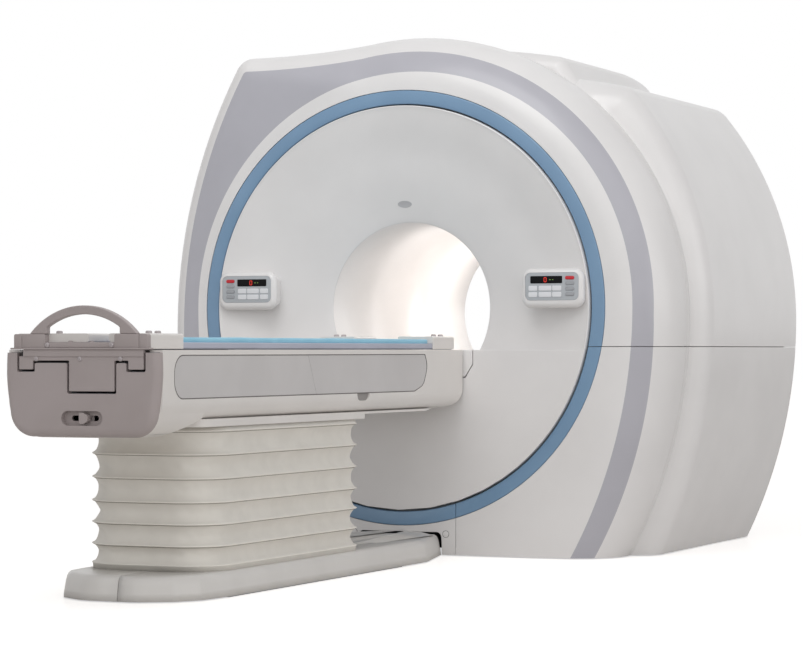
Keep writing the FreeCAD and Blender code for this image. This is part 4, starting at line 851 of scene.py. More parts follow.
def buildRoofCover():
    o, arcs = roofCover, spineArcs()
    levels = []
    for step in range(7):
        turn = math.radians(15.0 * step)
        levels.append((o["endRound"] * (1.0 - math.sin(turn)),
                       o["start"] + o["endRound"] * (1.0 - math.cos(turn))))
    levels += [(0.0, depth) for depth in o["levelDepths"]]
    for step in range(1, o["slopeSteps"] + 1):
        turn = math.radians(90.0 * step / o["slopeSteps"])
        levels.append((o["drop"] * (1.0 - math.cos(turn)),
                       o["end"] - o["slope"] + o["slope"] * math.sin(turn) ** o["slopeBend"]))
    bm = bmesh.new()
    hoops = [hoop(bm, [seenFront(Vector(arcPoint(arcs[number], angle, inset)), gantry["frontY"] + depth)
                       for number, angle in stationsAlong(arcs, *o["spacing"])]) for inset, depth in levels]
    bridgeHoops(bm, hoops)
    closeEnds(bm, hoops)
    finishPiece(bm, "roofCover", ["cover_white"], ["roof_cover"], edgeRound=o["edgeRound"], sharpAngle=60.0)


# blue ring round the front disc
frontRing = {"outer": 0.890, "width": 0.056, "depth": 0.040, "edge": 0.004, "gap": 0.0065, "steps": 288}


def buildRing():
    o, kick = frontRing, kickPanel["half"]
    inner, outer, back = o["outer"] - o["width"], o["outer"], o["depth"]
    corner = [(o["edge"] * (1.0 - math.cos(math.radians(t))), o["edge"] * (1.0 - math.sin(math.radians(t))))
              for t in (0, 30, 60, 90)]
    profile = [(inner, back)] + [(inner + across, depth) for across, depth in corner]
    profile += [(outer - across, depth) for across, depth in reversed(corner)]
    profile += [(outer, back), (inner, back)]
    whole = spinProfile(profile, o["steps"])
    below = over(seamLow)
    parts = (("blueRingUpper", ["blue_ring_upper"], [under(seamTop)]),
             ("blueRingLowerRight", ["blue_ring_lower"], [below, beside(kick + halfGap, -1)]),
             ("blueRingLowerLeft", [], [below, beside(-kick - halfGap, 1)]),
             ("blueRingKick", ["blue_ring_kick"],
              [below, beside(kick - halfGap, 1), beside(-kick + halfGap, -1)]))
    for name, nodes, cuts in parts:
        part = whole.copy()
        cutAway(part, *cuts, close=True)
        finishPiece(part, name, ["ring_blue"], nodes, sharpAngle=50.0)
    whole.free()


# points along a smooth curve through the given ones
def splineThrough(points, steps):
    ends = [2 * Vector(points[0]) - Vector(points[1])] + [Vector(p) for p in points]
    ends.append(2 * Vector(points[-1]) - Vector(points[-2]))
    found = []
    for a, b, c, d in zip(ends, ends[1:], ends[2:], ends[3:]):
        for step in range(steps):
            t = step / steps
            found.append(0.5 * ((2 * b) + (c - a) * t + (2 * a - 5 * b + 4 * c - d) * t ** 2
                                + (3 * b - a - 3 * c + d) * t ** 3))
    found.append(Vector(points[-1]))
    return found


# front disc: a dish above its ledge, and a plate with a notch for the docking bridge below it
frontDisc = {
    "proud": 0.012, "ledge": 0.837, "mouth": 0.355, "rimRound": 0.004, "lipRound": 0.006, "lipGap": 0.0005,
    "profile": ((0.8295, -0.012), (0.750, 0.009), (0.640, 0.042), (0.520, 0.066), (0.391, 0.100),
                (0.355, 0.112)),
    "bridgeHalf": 0.326, "bridgeLowHalf": 0.292, "bridgeLow": 0.727, "bridgeBend": 0.779, "bridgeGap": 0.003,
    "bridgeBack": 0.112, "bridgeEdge": 0.003, "bridgeCorners": (0.012, 0.010),
    "plateBack": 0.118, "plateSteps": 24, "plateEdge": 0.0025,
}


def buildDisc():
    o = frontDisc
    rim, ring, lip = frontRing["outer"] - frontRing["width"] - frontRing["gap"], o["rimRound"], o["lipRound"]
    mouthDepth = o["profile"][-1][1]
    profile = [(rim, frontRing["depth"]), (rim, ring - o["proud"]),
               (rim - ring * 0.3, ring * 0.3 - o["proud"]), (rim - ring, -o["proud"])]
    profile += [tuple(point) for point in splineThrough(o["profile"], 6) if point.x < rim - ring * 1.5]
    profile.append((o["mouth"] - lip * 0.3, mouthDepth + lip * 0.3))
    profile.append((o["mouth"] - o["lipGap"], mouthDepth + lip))
    dish = spinProfile(profile, frontRing["steps"])
    radius, depth = o["profile"][2]
    crown = axisPoint + Vector((0.0, gantry["frontY"] + depth, radius))
    faceTowards(dish, (0, -1, 0), lambda face: -(face.calc_center_median() - crown).length)
    cutAway(dish, under(o["ledge"]))
    finishPiece(dish, "frontDiscDish", ["cover_white"], ["front_disc_cover"])
    finishPiece(discPlate(rim), "frontDiscPlate", ["cover_white"], [], edgeRound=o["plateEdge"],
                sharpAngle=50.0)


# lower plate with its ledge, and the notch that takes the docking bridge
def discPlate(rim):
    o, front, gap = frontDisc, gantry["frontY"], frontDisc["bridgeGap"]
    half, lowHalf = o["bridgeHalf"] + gap, o["bridgeLowHalf"] + gap
    notch = [Vector(corner) for corner in bothSides([(half, o["ledge"]), (half, o["bridgeBend"] - gap / 2),
                                                     (lowHalf, o["bridgeLow"] - gap)])]
    inner = [start.lerp(end, step / o["plateSteps"]) for start, end in zip(notch, notch[1:])
             for step in range(o["plateSteps"])] + [notch[-1]]
    centre, axis, outer = Vector((0.0, o["ledge"])), Vector((0.0, gantry["axisHeight"])), []
    for point in inner:
        ray = (point - centre).normalized()
        along = (axis - centre).dot(ray)
        reach = along + math.sqrt(along ** 2 - (axis - centre).length_squared + rim ** 2)
        outer.append(centre + ray * reach)
    bm = bmesh.new()
    lines = ((inner, o["plateBack"]), (inner, -o["proud"]), (outer, -o["proud"]), (outer, frontRing["depth"]))
    bridgeHoops(bm, [hoop(bm, [seenFront(point, front + depth) for point in line], False)
                     for line, depth in lines])
    ends = [v for v in bm.verts if abs(v.co.z - o["ledge"]) < 1e-5]
    for side in (-1, 1):
        corners = sorted((v for v in ends if v.co.x * side > 0.0), key=lambda v: (abs(v.co.x), v.co.y * side))
        near = sorted(corners[:2], key=lambda v: v.co.y)
        far = sorted(corners[2:], key=lambda v: v.co.y)
        bm.faces.new((near[0], far[0], far[1], near[1]))
    faceTowards(bm, (0, -1, 0), lambda face: face.calc_area() - face.calc_center_median().y)
    return bm


def buildBridge():
    o, front = frontDisc, gantry["frontY"]
    lowRound, bendRound = o["bridgeCorners"]
    outline = roundedOutline(bothSides([(o["bridgeLowHalf"], o["bridgeLow"], lowRound),
                                        (o["bridgeHalf"], o["bridgeBend"], bendRound),
                                        (o["bridgeHalf"], o["ledge"], 0.0)]))
    finishPiece(slab(outline, front - o["proud"], front + o["bridgeBack"], o["bridgeEdge"]), "dockingBridge",
                ["cover_white"], ["docking_bridge"], sharpAngle=50.0)


# shallow oval window on the dish above the bore, following the dish's slope
sensorWindow = {
    "across": -0.016, "height": 1.438, "length": 0.062, "width": 0.028,
    "levels": ((1.0, -0.001), (1.0, 0.0012), (0.93, 0.0012), (0.8, 0.0005), (0.2, 0.0004)),   # share, lift
}


def buildSensorWindow():
    o, curve = sensorWindow, splineThrough(frontDisc["profile"], 6)
    bm = bmesh.new()
    hoops = []
    for size, lift in o["levels"]:
        points = []
        for turn in range(0, 360, 10):
            x = o["across"] + size * o["length"] / 2 * math.cos(math.radians(turn))
            z = o["height"] + size * o["width"] / 2 * math.sin(math.radians(turn))
            reach = math.hypot(x, z - gantry["axisHeight"])
            outer, inner = next((a, b) for a, b in zip(curve, curve[1:]) if a[0] >= reach >= b[0])
            depth = outer.lerp(inner, (outer[0] - reach) / (outer[0] - inner[0]))[1]
            points.append((x, gantry["frontY"] + depth - lift, z))
        hoops.append(hoop(bm, points))
    bridgeHoops(bm, hoops)
    bmesh.ops.holes_fill(bm, edges=hoops[-1], sides=0)
    faceTowards(bm, (0, -1, 0), lambda face: face.calc_area())
    finishPiece(bm, "sensorWindow", ["window_grey"], [], sharpAngle=60.0)


# bore lining with its flared rear mouth, as radius and depth
bore = {
    "profile": ((0.3545, 0.118), (0.3545, 1.544), (0.362, 1.570), (0.392, 1.604), (0.440, 1.627),
                (0.468, 1.634)),
    "wall": 0.005,
}


def buildBore():
    tube = spinProfile(bore["profile"])
    faceTowards(tube, (-1, 0, 0), lambda face: face.calc_area() * face.calc_center_median().x)
    finishPiece(tube, "boreLining", ["bore_white"], ["bore_liner"], wall=bore["wall"])


# bellows: hollow panels between piped ridges, with creases at the corners
bellows = {
    "bottom": 0.088, "top": 0.578, "ridges": (0.107, 0.173, 0.247, 0.3215, 0.402, 0.483, 0.563),
    "halfWidth": 0.262, "foot": -2.160, "head": -0.910, "footCorner": 0.160, "headCorner": 0.100,
    "footInset": 0.004, "topInset": 0.008, "wall": 0.003, "spacing": 0.012,
    "hollow": 0.022, "hollowBend": 0.8, "hollowSteps": 12,
    "piping": 0.0028, "pipingDeep": 1.4, "pipingLoose": 0.15, "pipingTurns": (-70, -35, 0, 35, 70),
    "tuck": 0.0030, "tuckShare": 0.28,       # fold under a ridge: its height, and its share of the hollow
    "tuckLoose": 0.2,                        # how freely the cloth wanders there, against 1 in a hollow
    "crease": 0.0035, "slow": 1.2, "slowScale": (5.0, 13.0),            # waves per metre across and up
    "fold": 0.5, "foldCorner": 1.2, "foldScale": (22.0, 16.0), "foldLean": (30.0, -24.0), "cornerGain": 2.6,
    "sag": 0.0025, "sagScale": (3.0, 9.0), "sagStart": 4.0,
}


# stations round a plan with two sizes of corner: place and outward direction
def roundedPlan(halfWidth, start, end, footCorner, headCorner, spacing):
    corners = [(halfWidth - footCorner, start + footCorner, footCorner, -90.0),
               (halfWidth - headCorner, end - headCorner, headCorner, 0.0),
               (-halfWidth + headCorner, end - headCorner, headCorner, 90.0),
               (-halfWidth + footCorner, start + footCorner, footCorner, 180.0)]
    line = []
    for x, y, radius, first in corners:
        steps = max(4, round(math.radians(90.0) * radius / spacing))
        for step in range(steps + 1):
            turn = math.radians(first + 90.0 * step / steps)
            out = Vector((math.cos(turn), math.sin(turn)))
            line.append((Vector((x, y)) + out * radius, out))
    full = []
    for (here, out), (there, _) in zip(line, line[1:] + line[:1]):
        full.append((here, out))
        gap = (there - here).length
        if gap > spacing * 1.6:
            steps = round(gap / spacing)
            full += [(here.lerp(there, step / steps), out) for step in range(1, steps)]
    return full


# height, inset and looseness of each hoop, and the tint of each band: cloth, piping, shaded fold
def bellowsLevels():
    o = bellows
    levels, tints = [(o["bottom"], o["footInset"], 0.0)], []
    for index, ridge in enumerate(o["ridges"]):
        bead = o["piping"]
        tints.append(0)
        if index:
            levels.append((ridge - bead - o["tuck"], bead + o["hollow"] * o["tuckShare"], o["tuckLoose"]))
            tints.append(2)
        for turn in map(math.radians, o["pipingTurns"]):
            levels.append((ridge + bead * math.sin(turn), bead * (1.0 - math.cos(turn)) * o["pipingDeep"],
                           o["pipingLoose"]))
        tints += [1] * (len(o["pipingTurns"]) - 1)
        if index < len(o["ridges"]) - 1:
            span = o["ridges"][index + 1] - ridge
            for step in range(1, o["hollowSteps"]):
                share = step / o["hollowSteps"]
                arch = math.sin(math.pi * share)
                levels.append((ridge + span * share, bead + o["hollow"] * arch ** o["hollowBend"], arch))
            tints += [0] * (o["hollowSteps"] - 1)
    levels.append((o["top"], o["topInset"], 0.0))
    return levels, tints + [0]


# how far the cloth is pushed out of its even shape, and how far it sags
def clothWander(place, out, height, looseness):
    o = bellows
    (slowAcross, slowUp), (foldAcross, foldUp), (sagAcross, sagUp) = (
        o["slowScale"], o["foldScale"], o["sagScale"])
    slow = noise.noise(Vector((place.x * slowAcross, place.y * slowAcross, height * slowUp)))
    leanX, leanY = o["foldLean"]
    fold = noise.noise(Vector((place.x * foldAcross + height * leanX, place.y * foldAcross + height * leanY,
                               height * foldUp)))
    corner = min(1.0, abs(out.x * out.y) * o["cornerGain"])
    push = looseness * o["crease"] * (slow * o["slow"] + fold * (o["fold"] + o["foldCorner"] * corner))
    sag = noise.noise(Vector((place.x * sagAcross, place.y * sagAcross, height * sagUp + o["sagStart"])))
    return push, looseness * o["sag"] * sag


def buildBellows():
    o, front = bellows, gantry["frontY"]
    plan = roundedPlan(o["halfWidth"], front + o["foot"], front + o["head"], o["footCorner"], o["headCorner"],
                       o["spacing"])
    levels, tints = bellowsLevels()
    bm = bmesh.new()
    hoops = []
    for height, inset, looseness in levels:
        points = []
        for place, out in plan:
            push, sag = clothWander(place, out, height, looseness)
            spot = place - out * (inset - push)
            points.append((spot.x, spot.y, height + sag))
        hoops.append(hoop(bm, points))
    bridgeHoops(bm, hoops, tints)
    faceTowards(bm, (1, 0, 0), lambda face: face.calc_center_median().x)
    piece = finishPiece(bm, "liftBellows", ["bellows_cloth", "piping", "fold_dark"], ["bellows"],
                        wall=o["wall"], sharpAngle=70.0)
    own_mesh(piece)


# mattress: thin pad with a rounded edge and a faintly uneven top
mattress = {"round": 0.008, "corner": 0.030, "puff": 0.0015, "puffScale": (9.0, 5.0), "puffBias": 0.6,
            "spacing": 0.02, "footInset": 0.001, "footRise": 0.003, "topInsets": (0.030, 0.070)}


def buildMattress():
    o = mattress
    low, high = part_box("mattress")
    plan = roundedPlan((high.x - low.x) / 2.0, low.y, high.y, o["corner"], o["corner"], o["spacing"])
    levels = [(low.z, o["footInset"]), (low.z + o["footRise"], 0.0), (high.z - o["round"], 0.0)]
    for turn in map(math.radians, (30, 60, 90)):
        levels.append((high.z - o["round"] * (1.0 - math.sin(turn)), o["round"] * (1.0 - math.cos(turn))))
    levels += [(high.z, inset) for inset in o["topInsets"]]
    bm = bmesh.new()
    hoops = []
    for height, inset in levels:
        points = []
        for place, out in plan:
            spot = place - out * inset
            wave = noise.noise(Vector((spot.x * o["puffScale"][0], spot.y * o["puffScale"][1], 0.3)))
            lift = o["puff"] * (wave - o["puffBias"]) if height > high.z - 0.001 else 0.0
            points.append((spot.x, spot.y, height + lift))
        hoops.append(hoop(bm, points))
    bridgeHoops(bm, hoops)
    closeEnds(bm, hoops)
    bmesh.ops.triangulate(bm, faces=[face for face in bm.faces if len(face.verts) > 4])
    bmesh.ops.recalc_face_normals(bm, faces=bm.faces)
    piece = finishPiece(bm, "tableMattress", ["mattress_blue"], ["mattress"], rides="tabletop",
                        sharpAngle=60.0)


# base covers: one leaning wall with a turned-in top, split near the middle
baseCover = {
    "plan": ((0.100, -2.392, 0.120), (0.212, -2.318, 0.060), (0.268, -2.225, 0.060), (0.285, -2.080, 0.300),
             (0.285, -0.375, 0.200), (0.190, -0.020, 0.0), (0.184, 0.0, 0.0)),
    "levels": ((0.0, 0.004), (0.004, 0.030), (0.008, 0.055), (0.0115, 0.070), (0.017, 0.081), (0.026, 0.0875),
               (0.034, 0.088)),
    "opening": (0.80, 0.500, -0.955),        # for the lift: share of the plan across and along, and its end
    "seam": 0.035, "gap": 0.0012, "wall": 0.004,
}


def buildBaseCovers():
    o = baseCover
    plan = roundedOutline(bothSides(o["plan"]), 6.0)
    whole = bmesh.new()
    hoops = [hoop(whole, [seenDown(point, height) for point in insetOutline(plan, inset)])
             for inset, height in o["levels"]]
    inset, height = o["levels"][-1]
    across, along, end = o["opening"]
    hoops.append(hoop(whole, [seenDown(Vector((point.x * across, end + point.y * along)), height)
                              for point in insetOutline(plan, inset)]))
    bridgeHoops(whole, hoops)
    faceTowards(whole, (0, 0, 1), lambda face: face.calc_area() * abs(face.normal.z))
    for word, side in sides:
        part = whole.copy()
        cutAway(part, beside(o["seam"] + side * o["gap"], -side))
        finishPiece(part, "baseCover" + word, ["base_white"], ["base_cover_" + word.lower()], wall=o["wall"],
                    sharpAngle=60.0)
    whole.free()


# shaded grooves round the side panels, and the pull notches under them
sideGroove = {
    "half": 0.288, "start": -2.459, "end": -0.507, "low": 0.678, "high": 0.818,
    "inner": 0.0002, "outer": 0.0030, "proud": 0.0004, "sink": 0.004, "startRound": 0.060,
    "nose": ((0.0, 0.0, 0.040), (0.087, 0.022, 0.060), (0.127, 0.097, 0.050)),   # past end, over low edge
    "noseTop": (0.100, 0.008), "notch": (-1.040, -0.930, 0.648, 0.684), "notchRound": 0.0355,
    "notchSink": 0.0036, "notchDeep": 0.001,
}


def panelOutline(gap):
    o = sideGroove
    start, end, low, high = o["start"] - gap, o["end"], o["low"], o["high"] + gap
    corners = [(start, high, o["startRound"]), (start, low - gap, o["startRound"])]
    for past, rise, radius in o["nose"]:
        corners.append((end + past + gap if past else end, low + rise if rise else low - gap, radius))
    corners.append((end + o["noseTop"][0] + gap, high, o["noseTop"][1]))
    return roundedOutline([(gantry["frontY"] + depth, z, radius) for depth, z, radius in corners], 6.0)


def buildSideGrooves():
    o = sideGroove
    start, end, low, top = o["notch"]
    start, end = gantry["frontY"] + start, gantry["frontY"] + end
    cup = roundedOutline([(start, top, 0.0), (start, low, o["notchRound"]), (end, low, o["notchRound"]),
                          (end, top, 0.0)])
    for word, side in reversed(sides):
        face, sunk = side * (o["half"] + o["proud"]), side * (o["half"] - o["sink"])
        rim = carve(slab(panelOutline(o["outer"]), face, sunk, place=seenSide),
                    [slab(panelOutline(o["inner"]), face + side * cutPast, sunk - side * cutPast,
                          place=seenSide)])
        finishPiece(rim, "panelGroove" + word, ["groove_grey"], [], rides="couch")
        seat = side * (o["half"] - o["notchSink"])
        finishPiece(slab(cup, seat, seat - side * o["notchDeep"], place=seenSide), "pullNotch" + word,
                    ["notch_grey"], [], rides="couch")


# table foot: end cap with its T-shaped mouth, and the plate that runs in it
tableFoot = {
    "front": -3.395, "back": -3.365, "edge": 0.027, "edgeRound": 0.0014,
    "capHalf": ((0.264, 0.552, 0.086), (0.292, 0.742, 0.500), (0.286, 0.880, 0.040)), "capTop": 0.828,
    "tongue": (-0.043, 0.126, 0.702), "hooks": (-0.232, -0.180, 0.178, 0.234), "hookLow": 0.773,
    "stripLow": 0.802,
    "mouthGap": 0.0078, "mouthCorner": 0.006, "mouthTop": 0.9,
    "slots": ((0.005, 0.614, 0.154, 0.048, 0.008), (0.006, 0.614, 0.102, 0.018, -0.01)),   # last: floor left
    "plateLow": 0.815, "plateThick": 0.012, "plateCorner": 0.004, "plateEdge": 0.0015,
    "plateSides": (-0.215, 0.235), "plateLap": 0.001, "boardLow": 0.838, "barProud": 0.004,
    "barCorner": 0.003, "lip": (0.520, 0.006, 0.010), "lipCorner": 0.002,
    "slideBars": (0.206, 0.817, 0.030, 0.042), "slideCorner": 0.002, "slideEdge": 0.001,
}
handleBracket = {
    "blocks": ((-0.248, -0.130), (0.130, 0.250)), "grooves": (-0.218, 0.2206), "grooveHalf": 0.0007,
    "front": -3.401, "back": -3.375, "low": 0.844, "top": 0.889, "barTop": 0.862, "barLength": 0.262,
    "corner": 0.001, "outerCorner": 0.006, "edge": 0.0008, "coreInset": 0.003, "coreCorner": 0.002,
    "coreBack": 0.001, "barCorner": 0.004, "barInset": 0.001, "softEdge": 0.003,
    "bumps": (-0.042, 0.0386), "bump": (0.013, 0.010, 0.0049), "bumpInset": 0.006,
    "screws": ((-0.166, 0.808), (-0.002, 0.808), (0.149, 0.808)), "rivets": ((-0.121, 0.853), (0.119, 0.853)),
    "screwRadius": 0.0085, "screwProud": 0.0050, "screwSink": 0.002, "screwEdge": 0.0045,
}


def teeOutline(gap, top, corner):
    o = tableFoot
    (a, b, c, d), (left, right, low) = o["hooks"], o["tongue"]
    hook, strip = o["hookLow"] - gap, o["stripLow"] - gap
    points = [(a - gap, top), (a - gap, hook), (b + gap, hook), (b + gap, strip), (left - gap, strip),
              (left - gap, low - gap), (right + gap, low - gap), (right + gap, strip), (c - gap, strip),
              (c - gap, hook), (d + gap, hook), (d + gap, top)]
    return roundedOutline([(x, z, 0.0 if z == top else corner) for x, z in points], 15.0)


def buildEndCap():
    o, front, back = tableFoot, tableFoot["front"], tableFoot["back"]
    mouth = teeOutline(o["mouthGap"], o["mouthTop"], o["mouthCorner"])
    tools = [slab(mouth, front - cutPast, back + cutPast)]
    for x, z, length, rise, floor in o["slots"]:
        tools.append(block(x, z, length, rise, rise * 0.499, front - cutPast, back - floor))
    outline = roundedOutline(bothSides(o["capHalf"]), 5.0)
    cap = carve(slab(outline, front, back, o["edge"], edgeSteps=8), tools)
    cutAway(cap, over(o["capTop"]), close=True)
    finishPiece(cap, "endCap", ["cap_taupe"], ["end_cap"], rides="couch", edgeRound=o["edgeRound"],
                sharpAngle=40.0)


def buildEndPlate():
    o, front, edge = tableFoot, tableFoot["front"], tableFoot["plateEdge"]
    back, (left, right) = front + o["plateThick"], o["plateSides"]
    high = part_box("end_plate")[1]
    plate = slab(teeOutline(0.0, o["plateLow"] + o["plateLap"], o["plateCorner"]), front, back, edge)
    barLow, barTop = o["plateLow"], o["boardLow"]
    block((left + right) / 2, (barLow + barTop) / 2, right - left, barTop - barLow, o["barCorner"],
          front - o["barProud"], back, edge, bm=plate)
    length, rise, proud = o["lip"]
    block(0.0, barTop + rise / 2, length, rise, o["lipCorner"], front - proud, front + 2 * proud, edge,
          bm=plate)
    x, z, length, rise = o["slideBars"]
    for side in (-1, 1):
        block(side * x, z, length, rise, o["slideCorner"], front + proud, high.y, o["slideEdge"], bm=plate)
    finishPiece(plate, "endPlate", ["cap_taupe"], ["end_plate"], rides="tabletop", sharpAngle=50.0)


def buildScrewHeads():
    o, heads = handleBracket, bmesh.new()
    for screws, depth in ((o["screws"], tableFoot["front"]), (o["rivets"], o["front"])):
        for x, z in screws:
            roundBlock(x, z, o["screwRadius"], depth - o["screwProud"], depth + o["screwSink"],
                       o["screwEdge"], bm=heads)
    finishPiece(heads, "screwHeads", ["screw_grey"], [], rides="tabletop", sharpAngle=60.0)


def buildHandleBracket():
    o, bracket = handleBracket, bmesh.new()
    low, top, front, back, core = o["low"], o["top"], o["front"], o["back"], o["coreInset"]
    for start, end in o["blocks"]:
        middle = (start + end) / 2
        groove = min(o["grooves"], key=lambda x: abs(x - middle))
        for one, other in ((start, groove - o["grooveHalf"]), (groove + o["grooveHalf"], end)):
            rounds = [o["outerCorner"] if x in (start, end) else o["corner"] for x in (other, one)]
            slab(roundedOutline([(one, low, o["corner"]), (other, low, o["corner"]), (other, top, rounds[0]),
                                 (one, top, rounds[1])]), front, back, o["edge"], bm=bracket, edgeSteps=2)
        block(middle, (low + top) / 2, end - start - 2 * core, top - low - 2 * core, o["coreCorner"],
              front + core, back - o["coreBack"], bm=bracket)
    block(0.0, (low + o["barTop"]) / 2, o["barLength"], o["barTop"] - low, o["barCorner"],
          front + o["barInset"], back, o["softEdge"], bm=bracket)
    for x in o["bumps"]:
        block(x, o["barTop"], *o["bump"], front + o["bumpInset"], back - o["bumpInset"], o["softEdge"],
              bm=bracket)
    finishPiece(bracket, "handleBracket", ["cap_taupe"], ["handle_bracket"], rides="tabletop",
                sharpAngle=50.0)


# white blocks at both ends of the tabletop, lapped over the board's edge, with small round knobs
endBlocks = {
    "low": 0.862, "top": 0.891, "corner": 0.008, "boardHalf": 0.245, "lapLow": 0.840, "lapTop": 0.871,
    "lapMiddle": 0.0026, "lapWide": 0.0048, "lapCorner": 0.0015, "edgeRound": 0.0022,
    "knobRadius": 0.011, "knobHeight": 0.009, "knobSink": 0.001, "knobEdge": 0.45,
    "foot_blocks": (((-0.250, 0.020), (0.095, 0.250)), (-2.550, -2.327),
                    ((0.215, -2.500), (0.215, -2.440), (-0.120, -2.500))),
    "head_blocks": (((-0.250, -0.095), (0.095, 0.250)), (-0.234, -0.020),
                    ((0.215, -0.080), (0.215, -0.150), (-0.215, -0.080), (-0.215, -0.150))),
}


def buildEndBlocks():
    o, front = endBlocks, gantry["frontY"]
    middle, rise = (o["low"] + o["top"]) / 2, o["top"] - o["low"]
    lapMiddle, lapRise = (o["lapLow"] + o["lapTop"]) / 2, o["lapTop"] - o["lapLow"]
    for node in ("foot_blocks", "head_blocks"):
        halves, (start, end), knobs = o[node]
        name, blocks, heads = node.replace("_b", "B"), bmesh.new(), bmesh.new()
        for left, right in halves:
            block((left + right) / 2, middle, right - left, rise, o["corner"], front + start, front + end,
                  bm=blocks)
            out = math.copysign(1.0, right if right > o["boardHalf"] else left)
            block(out * (o["boardHalf"] + o["lapMiddle"]), lapMiddle, o["lapWide"], lapRise, o["lapCorner"],
                  front + start, front + end, bm=blocks)
        finishPiece(blocks, name, ["table_white"], [node], rides="tabletop", edgeRound=o["edgeRound"],
                    sharpAngle=60.0)
        for x, depth in knobs:
            roundBlock(x, depth, o["knobRadius"], o["top"] + o["knobHeight"], o["top"] - o["knobSink"],
                       o["knobRadius"] * o["knobEdge"], place=seenDown, bm=heads)
        finishPiece(heads, name + "Knobs", ["screw_grey"], [], rides="tabletop", sharpAngle=60.0)


# control pods with their keypads; on the left pod everything is mirrored
pod = {
    "centre": 0.681, "height": 1.083, "length": 0.266, "rise": 0.158, "corner": 0.040, "front": -0.868,
    "back": -0.755, "edge": 0.022, "backInset": 0.026, "floor": -0.8615, "rimRound": 0.0008,
    "padHeight": 1.090, "padLength": 0.226, "padRise": 0.110, "padCorner": 0.022, "padFront": -0.8665,
    "padEdge": 0.001, "gap": 0.0006,
    "window": (-0.024, 0.027, 0.136, 0.030), "windowCut": 0.003, "windowCorner": 0.004,
    "windowFit": 0.001, "windowProud": 0.001, "windowEdge": 0.0008,
    "paleKeys": ((-0.081, 0.037), (-0.029, 0.054), (0.021, 0.039)), "paleRows": (-0.007, -0.032),
    "paleRise": 0.020, "paleCorner": 0.005, "paleProud": 0.0022, "paleSink": 0.001, "paleEdge": 0.0014,
    "keys": (("stop", 0.034), ("up", 0.013), ("light", -0.009), ("down", -0.031)),
    "keyX": 0.076, "keyLength": 0.038, "keyRise": 0.0135, "keyProud": 0.003, "keySink": 0.003,
    "keyCorner": 0.006, "keyEdge": 0.0018,
    "digitShift": -0.004, "digitProud": 0.0012, "digitThick": 0.0006, "digitCorner": 0.0006,
    "zero": ((0.0085, 0.009, 0.003), (0.0048, 0.0042, 0.003, 0.008)),    # flat bars, upright bars
    "dashes": ((0.020, 0.0, 0.007, 0.003), (0.032, 0.0, 0.005, 0.003)),
}


def buildPod(word, side):
    o, gap, x, face = pod, pod["gap"], side * pod["centre"], pod["padFront"]
    end, level = word.lower(), o["padHeight"]
    pocket = block(x, level, o["padLength"] + 2 * gap, o["padRise"] + 2 * gap, o["padCorner"],
                   o["front"] - cutPast, o["floor"])
    body = carve(block(x, o["height"], o["length"], o["rise"], o["corner"], o["front"], o["back"], o["edge"],
                       edgeSteps=8, backInset=o["backInset"]), [pocket])
    finishPiece(body, "pod" + word, ["cover_white"], ["pod_" + end], edgeRound=o["rimRound"],
                sharpAngle=50.0)
    across, up, length, rise = o["window"]
    windowX, windowZ, sunk = x + side * across, level + up, face + o["windowCut"]
    cuts = [block(windowX, windowZ, length, rise, o["windowCorner"], face - cutPast, sunk)]
    for name, height in o["keys"]:
        cuts.append(block(x + side * o["keyX"], level + height, o["keyLength"] + 2 * gap,
                          o["keyRise"] + 2 * gap, o["keyCorner"] + gap, face - cutPast,
                          o["floor"] + cutPast))
    plate = block(x, level, o["padLength"], o["padRise"], o["padCorner"], face, o["floor"], o["padEdge"])
    plate = carve(plate, cuts)
    finishPiece(plate, "keypad" + word, ["keypad_grey"], ["keypad_" + end], sharpAngle=40.0)
    fit = o["windowFit"]
    display = block(windowX, windowZ, length - fit, rise - fit, o["windowCorner"] - fit / 2,
                    face - o["windowProud"], sunk, o["windowEdge"])
    finishPiece(display, "display" + word, ["display_black"], ["display_" + end], sharpAngle=50.0)
    pale = bmesh.new()
    for row in o["paleRows"]:
        for column, wide in o["paleKeys"]:
            block(x + side * column, level + row, wide, o["paleRise"], o["paleCorner"],
                  face - o["paleProud"], face + o["paleSink"], o["paleEdge"], bm=pale)
    finishPiece(pale, "paleKeys" + word, ["key_pale"], [])
    for name, height in o["keys"]:
        node = "%s_key_%s" % (name, end)
        key = block(x + side * o["keyX"], level + height, o["keyLength"], o["keyRise"], o["keyCorner"],
                    face - o["keyProud"], face + o["keySink"], o["keyEdge"])
        finishPiece(key, name + "Key" + word, ["key_red" if name == "stop" else "key_grey"], [node],
                    rides=frame["nodes"][node]["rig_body"], sharpAngle=50.0)
    (flat, *flatSize), (across, up, *size) = o["zero"]
    zero = [(0.0, flat, *flatSize), (0.0, -flat, *flatSize)]
    zero += [(a, b, *size) for b in (up, -up) for a in (-across, across)]
    digitX, lit = windowX + o["digitShift"], face - o["digitProud"]
    for slotName, bars in (("digit_red", zero), ("digit_green", o["dashes"])):
        digit = bmesh.new()
        for barX, barZ, wide, tall in bars:
            block(digitX + barX, windowZ + barZ, wide, tall, o["digitCorner"], lit,
                  lit + o["digitThick"], bm=digit)
        finishPiece(digit, slotName.replace("digit_", "segments") + word, [slotName], [])


def buildPods():
    for word, side in sides:
        buildPod(word, side)


# everything else is a finished copy of its CAD node, with its edges softened by these widths
copies = {
    "edge": 0.001, "sharpAngle": 30.0, "merge": 1e-5, "flat": 0.8,
    "rear_cover": 0.002, "couch_housing": 0.003, "handle": 0.0115, "under_cover": 0.003,
    "tabletop_board": 0.0015,
    "bore_rails": 0.0, "magnet_coils": 0.0, "gradient_coil": 0.0, "rf_body_coil": 0.0, "magnet_vessel": 0.0,
    "magnet_saddles": 0.0, "cover_frame": 0.0, "couch_frame": 0.0, "trough_liner": 0.0,
}


